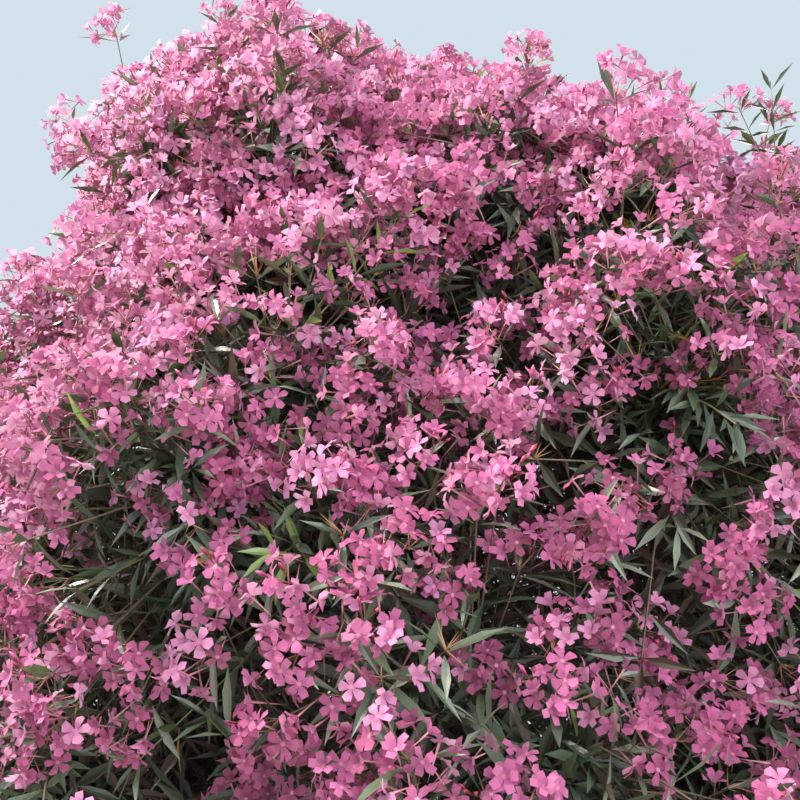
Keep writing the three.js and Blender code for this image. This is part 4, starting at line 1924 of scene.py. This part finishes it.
@dataclass
class Crown:
    """The whole crown: every mass of foliage, grown and joined into pieces by kind."""

    spaces: list[MassSpace]
    boughs: list[Limb]
    turns: list[float]
    box: tuple[Vector, Vector]
    half_ring: int = 4
    stalk_thickness: float = 0.035

    def groups(self) -> dict[str, list[int]]:
        """Part the masses among the pieces.

        Returns:
            The numbers of the masses that share a piece, a half of each full ring at a time.
        """
        groups: dict[str, list[int]] = {}
        for number, space in enumerate(self.spaces):
            half = 1 if space.index < self.half_ring else 2
            groups.setdefault(f"{space.tier.value}_{half}", []).append(number)
        return groups

    def build(self) -> list[Object]:
        """Grow the masses and join what they grow.

        Returns:
            The crown's pieces.
        """
        near = ((0.28, 3, PetalOutline.ROUND), (0.8, 5, PetalOutline.SLIM), (0.05, 8, PetalOutline.SLIM))
        high = ((0.28, 12), (0.8, 15), (0.05, 19))
        flowers = [Flower(*sizes).master() for sizes in near]
        flowers += [Flower(*sizes, PetalOutline.PLAIN).master() for sizes in high]
        leaf = Leaf()
        leaves = [
            leaf.master("leaf_master", ((0.28, 0.4, 0.0), (0.62, 0.5, 0.3))),
            leaf.master("plain_leaf_master", ((0.5, 0.58, 0.25),)),
        ]
        stalk = Shell()
        stalk.add_spike(Vector(), UP, self.stalk_thickness)
        singles = [leaf.folded_master(), Bud().master(), stalk.master("stalk_master", True)]
        petals = [tint.zones() for tint in PETAL_TINTS]
        greens = [[tint.value.make()] for tint in LeafTint]
        barks = [bark.value.make() for bark in Bark]
        reds = [[finish.make() for finish in finishes] for finishes in BUD_FINISHES]
        shades = [[finish.make()] for finish in INNER_LEAF_FINISHES]
        shape = CrownShape(self.spaces, self.box)
        places = shape.spread_places()
        whole = Growth()
        pieces: list[Object] = []
        for number, (name, members) in enumerate(self.groups().items()):
            part = Growth(whole.strands, Places(), whole.inner_leaves, Places(), whole.buds, whole.stalks)
            for member in members:
                numbers = RepeatableNumbers(GROWTH_SEED + 97 * member)
                bough, turn = self.boughs[member], self.turns[member]
                MassGrowth(self.spaces[member], shape, bough, numbers, turn, places[member], part).grow()
            blossom = scatter(f"flowers_{name}", part.flowers, flowers, petals, 0.05, 11 + number)
            dress(blossom, [self.spaces[member].node for member in members])
            pieces += [blossom, scatter(f"leaves_{name}", part.leaves, leaves, greens, 0.1, 21 + number)]
        pieces += [
            scatter("leaves_inside", whole.inner_leaves, singles[:1], shades, 0.15, 31),
            scatter("buds", whole.buds, singles[1:2], reds, 0.1, 32),
            scatter("flower_stalks", whole.stalks, singles[2:], [barks[2:]], 0.05, 33),
            thicken("twigs_and_shoots", whole.strands, 3, barks[:2]),
        ]
        for master in (*flowers, *leaves, *singles):
            bpy.data.objects.remove(master)
        for piece in pieces:
            if not piece.name.startswith("flowers_"):
                dress(piece)
        return pieces


# Stems, boughs, pot and soil


@dataclass
class Limbs:
    """The stems and boughs, with the relief of their bark."""

    stems: list[Limb]
    boughs: list[Limb]

    def add_limb(self, shell: Shell, limb: Limb, sides: int, count: int, collar: float, seed: float) -> None:
        """Add one limb as a closed tube with knots and ridges.

        Args:
            shell: the mesh, added to.
            limb: the limb.
            sides: how many sides it has.
            count: how many pieces it has along its length.
            collar: how much wider its foot is, as a share.
            seed: which relief it gets.
        """
        rings: list[list[Vector]] = []
        before: Vector | None = None
        for i in range(count + 1):
            share = i / count
            way, centre = limb.route.way(share), limb.route.point(share)
            if before is None:
                before = way.orthogonal().normalized()
            else:
                before = (before - way * before.dot(way)).normalized()
            across = way.cross(before)
            walked = share * limb.route.length
            swell = 1.0 + collar * math.exp(-walked / 0.03)
            swell += 0.07 * max(0.0, math.sin(walked * FULL_TURN / 0.11 + seed)) ** 6
            ring = []
            for turn in ring_turns(sides):
                outward = before * math.cos(turn) + across * math.sin(turn)
                sample = Vector((math.cos(turn) * 1.6, math.sin(turn) * 1.6, walked * 9.0 + seed * 5.0))
                relief = 1.0 + 0.07 * noise.noise(sample) + 0.035 * noise.noise(sample * 3.1)
                ring.append(centre + outward * limb.radius_at(share) * swell * relief)
            rings.append(ring)
        tip = limb.route.point(1.0) + limb.route.way(1.0) * limb.radius_at(1.0) * 0.6
        shell.add_tube(rings, limb.route.point(0.0), tip)

    def build(self, nodes: Sequence[str]) -> Object:
        """Make the limbs as one piece.

        Args:
            nodes: the names of the solids that it stands for.

        Returns:
            The piece.
        """
        shell = Shell()
        for number, stem in enumerate(self.stems):
            self.add_limb(shell, stem, 20, 64, 0.0, number * 1.7)
        for number, bough in enumerate(self.boughs):
            self.add_limb(shell, bough, 10, 52, 0.35, 40.0 + number * 1.3)
        return dress(shell.piece("stems_and_boughs", BarkFinish().make()), nodes)


@dataclass
class ClayPot:
    """The plain tapered pot with a thick band for a rim."""

    height: float = 0.64
    base_radius: float = 0.29
    rim_radius: float = 0.4
    wall: float = 0.026
    floor: float = 0.036
    band_height: float = 0.084
    band_out: float = 0.02
    lip: float = 0.01
    sides: int = 144

    def body_radius(self, height: float) -> float:
        """Return the outer radius of the plain body at a height."""
        return mix(self.base_radius, self.rim_radius - self.band_out, height / self.height)

    def profile(self) -> list[tuple[float, float]]:
        """Draw the pot's outline.

        Returns:
            Its corners as radius and height, from the edge of the foot to the edge of its inner floor.
        """
        foot, rim, top, lip = self.base_radius, self.rim_radius, self.height, self.lip
        band = top - self.band_height
        under = self.body_radius(band)
        inner = self.body_radius(top) - self.wall
        outline = [(foot - 0.012, 0.0), (foot - 0.004, 0.003), (foot, 0.01)]
        outline += [(self.body_radius(h), h) for h in np.linspace(0.03, band - 0.03, 26)]
        outline += [(under - 0.001, band - 0.012), (under + 0.002, band - 0.003)]
        outline += [(rim - 0.009, band + 0.002), (rim - 0.004, band + 0.008)]
        outline += [(rim - 0.003, band + 0.02), (rim - 0.001, top - 0.03)]
        for angle in (math.pi / 2.0 * step / 6 for step in range(7)):
            outline.append((rim - lip * (1.0 - math.cos(angle)), top - lip * (1.0 - math.sin(angle))))
        for angle in (math.pi / 2.0 * step / 5 for step in range(6)):
            outline.append((inner + lip * (1.0 - math.sin(angle)), top - lip * (1.0 - math.cos(angle))))
        return outline + [(self.body_radius(h) - self.wall, h) for h in np.linspace(top - 0.03, self.floor, 12)]

    def build(self) -> Object:
        """Make the pot.

        Returns:
            The pot as one piece.
        """
        rings: list[list[Vector]] = []
        for radius, height in self.profile():
            ring = []
            for turn in ring_turns(self.sides):
                sample = Vector((math.cos(turn) * 1.3, math.sin(turn) * 1.3, height * 7.0))
                hand = 0.0011 * noise.noise(sample) + 0.0006 * math.sin(height * FULL_TURN / 0.045)
                ring.append(heading(turn) * (radius + (hand if height > 0.02 else 0.0)) + UP * height)
            rings.append(ring)
        shell = Shell()
        shell.add_tube(rings, Vector(), UP * self.floor)
        return dress(shell.piece("clay_pot", ClayFinish().make()), ["pot"])


@dataclass
class PottingSoil:
    """The soil in the pot: a crumbly surface that falls a little to the wall, with crumbs and grit."""

    top: float
    pot: ClayPot
    flat_radius: float = 0.19
    crown: float = 0.014
    clearance: float = 0.001
    rings: int = 64
    sides: int = 144
    stones: int = 900
    lumps: tuple[tuple[float, float], ...] = ((0.006, 18.0), (0.004, 52.0), (0.0025, 120.0))

    def edge_at(self, height: float) -> float:
        """Return the pot's inner radius at a height."""
        return self.pot.body_radius(height) - self.pot.wall

    def surface_at(self, flat: Vector) -> Vector:
        """Find the point of the crumbly surface above a level point.

        Args:
            flat: the level point.

        Returns:
            The point of the surface.
        """
        fall = max(0.0, (flat.length - self.flat_radius) / (self.edge_at(self.top) - self.flat_radius))
        place = flat + UP * 0.3
        lumps = sum(size * noise.noise(place * grain) for size, grain in self.lumps)
        return flat + UP * (self.top - self.crown * fall + lumps)

    def build(self) -> list[Object]:
        """Make the soil.

        Returns:
            The soil and the grit on it.
        """
        edge = self.edge_at(self.top) - self.clearance
        depth = self.pot.floor + self.clearance
        narrow = self.edge_at(depth) - self.clearance
        turns = ring_turns(self.sides)
        rings = [[heading(turn) * narrow + UP * depth for turn in turns]]
        for i in range(self.rings, 0, -1):
            rings.append([self.surface_at(heading(turn) * (edge * i / self.rings)) for turn in turns])
        shell = Shell()
        shell.add_tube(rings, UP * depth, self.surface_at(Vector()))
        return [dress(shell.piece("potting_soil", SoilFinish().make()), ["soil"]), self.grit(edge)]

    def grit(self, edge: float) -> Object:
        """Strew small stones and crumbs of bark on the soil.

        Args:
            edge: the radius of the soil's surface.

        Returns:
            The grit as one piece.
        """
        numbers = RepeatableNumbers(881)
        places = Places()
        for _ in range(self.stones):
            radius = (edge - 0.012) * math.sqrt(numbers.next())
            flat = heading(numbers.between(0.0, FULL_TURN)) * radius
            size = 0.0025 + 0.006 * numbers.next() ** 3
            lean = Vector([numbers.between(low, 1.0) for low in (-1.0, -1.0, 0.2)]).normalized()
            place = self.surface_at(flat) + UP * size * 0.3
            places.add(place, lean, UP, size, numbers.pick((0.5, 0.3, 0.2)))
        stone = Shell([UP * 0.62, UP * -0.62])
        for i, turn in enumerate(ring_turns(6)):
            stone.points.append(heading(turn) * (1.0 if i % 2 else 0.8) + UP * (0.12 if i % 2 else -0.1))
            stone.add_faces([(0, 2 + i, 2 + (i + 1) % 6), (1, 2 + (i + 1) % 6, 2 + i)])
        master = stone.master("grit_master")
        piece = scatter("soil_grit", places, [master], [[finish.make()] for finish in GRIT_FINISHES], 0.2, 5)
        bpy.data.objects.remove(master)
        return dress(piece)


# Studio


@dataclass(frozen=True)
class SoftLight:
    """A square soft light that looks at the middle of the crown."""

    name: str
    place: tuple[float, float, float]
    size: float
    power: float
    colour: tuple[float, float, float]
    looks_at: tuple[float, float, float] = (0.0, 0.0, 2.2)

    def add(self) -> None:
        """Add the light to the scene."""
        light = bpy.data.lights.new(self.name, "AREA")
        light.shape = "SQUARE"
        light.size = self.size
        light.energy = self.power
        light.color = self.colour
        lamp = bpy.data.objects.new(self.name, light)
        lamp.location = self.place
        towards = Vector(self.looks_at) - Vector(self.place)
        lamp.rotation_euler = towards.to_track_quat("-Z", "Y").to_euler()
        bpy.context.scene.collection.objects.link(lamp)


LIGHTS = (
    SoftLight("key_light", (-5.4, -3.0, 8.2), 1.6, 1900.0, (1.0, 0.95, 0.93)),
    SoftLight("fill_light", (3.2, -6.0, 2.6), 4.5, 480.0, (0.92, 0.94, 1.0)),
    SoftLight("back_light", (2.5, 6.0, 6.5), 3.0, 500.0, (1.0, 0.98, 0.95)),
)


@dataclass(frozen=True)
class Studio:
    """The pale floor, the soft lights and the camera, which looks up into the crown from close by."""

    camera_place: tuple[float, float, float] = (-0.12, -2.6, 1.45)
    camera_pitch: float = 27.0
    view_width: float = 50.0
    sensor: float = 36.0
    farthest: float = 100.0
    floor_half: float = 40.0
    sky: tuple[float, float, float, float] = (0.76, 0.88, 0.96, 1.0)
    sky_strength: float = 0.86

    def build(self) -> None:
        """Add the floor, the world, the lights and the camera, and show colours as they are."""
        bpy.context.scene.view_settings.view_transform = "Standard"
        self.add_floor()
        self.set_world()
        for light in LIGHTS:
            light.add()
        self.add_camera()

    def add_floor(self) -> None:
        """Add the floor."""
        half = self.floor_half
        corners = [(-half, -half, 0.0), (half, -half, 0.0), (half, half, 0.0), (-half, half, 0.0)]
        floor = new_object("studio_floor", corners, [], [(0, 1, 2, 3)], smooth=False)
        floor.data.materials.append(FloorFinish().make())
        floor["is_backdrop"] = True

    def set_world(self) -> None:
        """Set an even, pale surrounding light."""
        world = bpy.data.worlds.new("studio_world")
        world.use_nodes = True
        background = world.node_tree.nodes["Background"]
        background.inputs["Color"].default_value = self.sky
        background.inputs["Strength"].default_value = self.sky_strength
        bpy.context.scene.world = world

    def add_camera(self) -> None:
        """Add the camera."""
        camera = bpy.data.cameras.new("camera")
        camera.sensor_width = self.sensor
        camera.lens = self.sensor / 2.0 / math.tan(math.radians(self.view_width / 2.0))
        camera.clip_end = self.farthest
        holder = bpy.data.objects.new("camera", camera)
        holder.location = self.camera_place
        holder.rotation_euler = (math.radians(90.0 + self.camera_pitch), 0.0, 0.0)
        bpy.context.scene.collection.objects.link(holder)
        bpy.context.scene.camera = holder


def main() -> None:
    """Build the potted oleander around the frame."""
    logging.basicConfig(level=logging.INFO, format="%(name)s: %(message)s")
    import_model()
    cad_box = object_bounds()
    Studio().build()

    soil_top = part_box("soil")[1][2]
    numbers = RepeatableNumbers(SKELETON_SEED)
    stems = stem_limbs(soil_top, numbers)
    spaces = mass_spaces()
    boughs = bough_limbs(spaces, stems)
    turns = [numbers.next() * FULL_TURN for _ in spaces]

    nodes = [f"stem_{number + 1}" for number in range(STEMS.count)]
    nodes += [space.node.replace("foliage", "bough") for space in spaces]
    pot = ClayPot()
    made = [pot.build(), *PottingSoil(soil_top, pot).build(), Limbs(stems, boughs).build(nodes)]
    made += Crown(spaces, boughs, turns, cad_box).build()
    for piece in made:
        piece.data.calc_loop_triangles()
        log.info("%s: %d triangles", piece.name, len(piece.data.loop_triangles))
    log.info("all pieces: %d triangles", sum(len(piece.data.loop_triangles) for piece in made))
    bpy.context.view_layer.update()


if __name__ == "__main__":
    main()
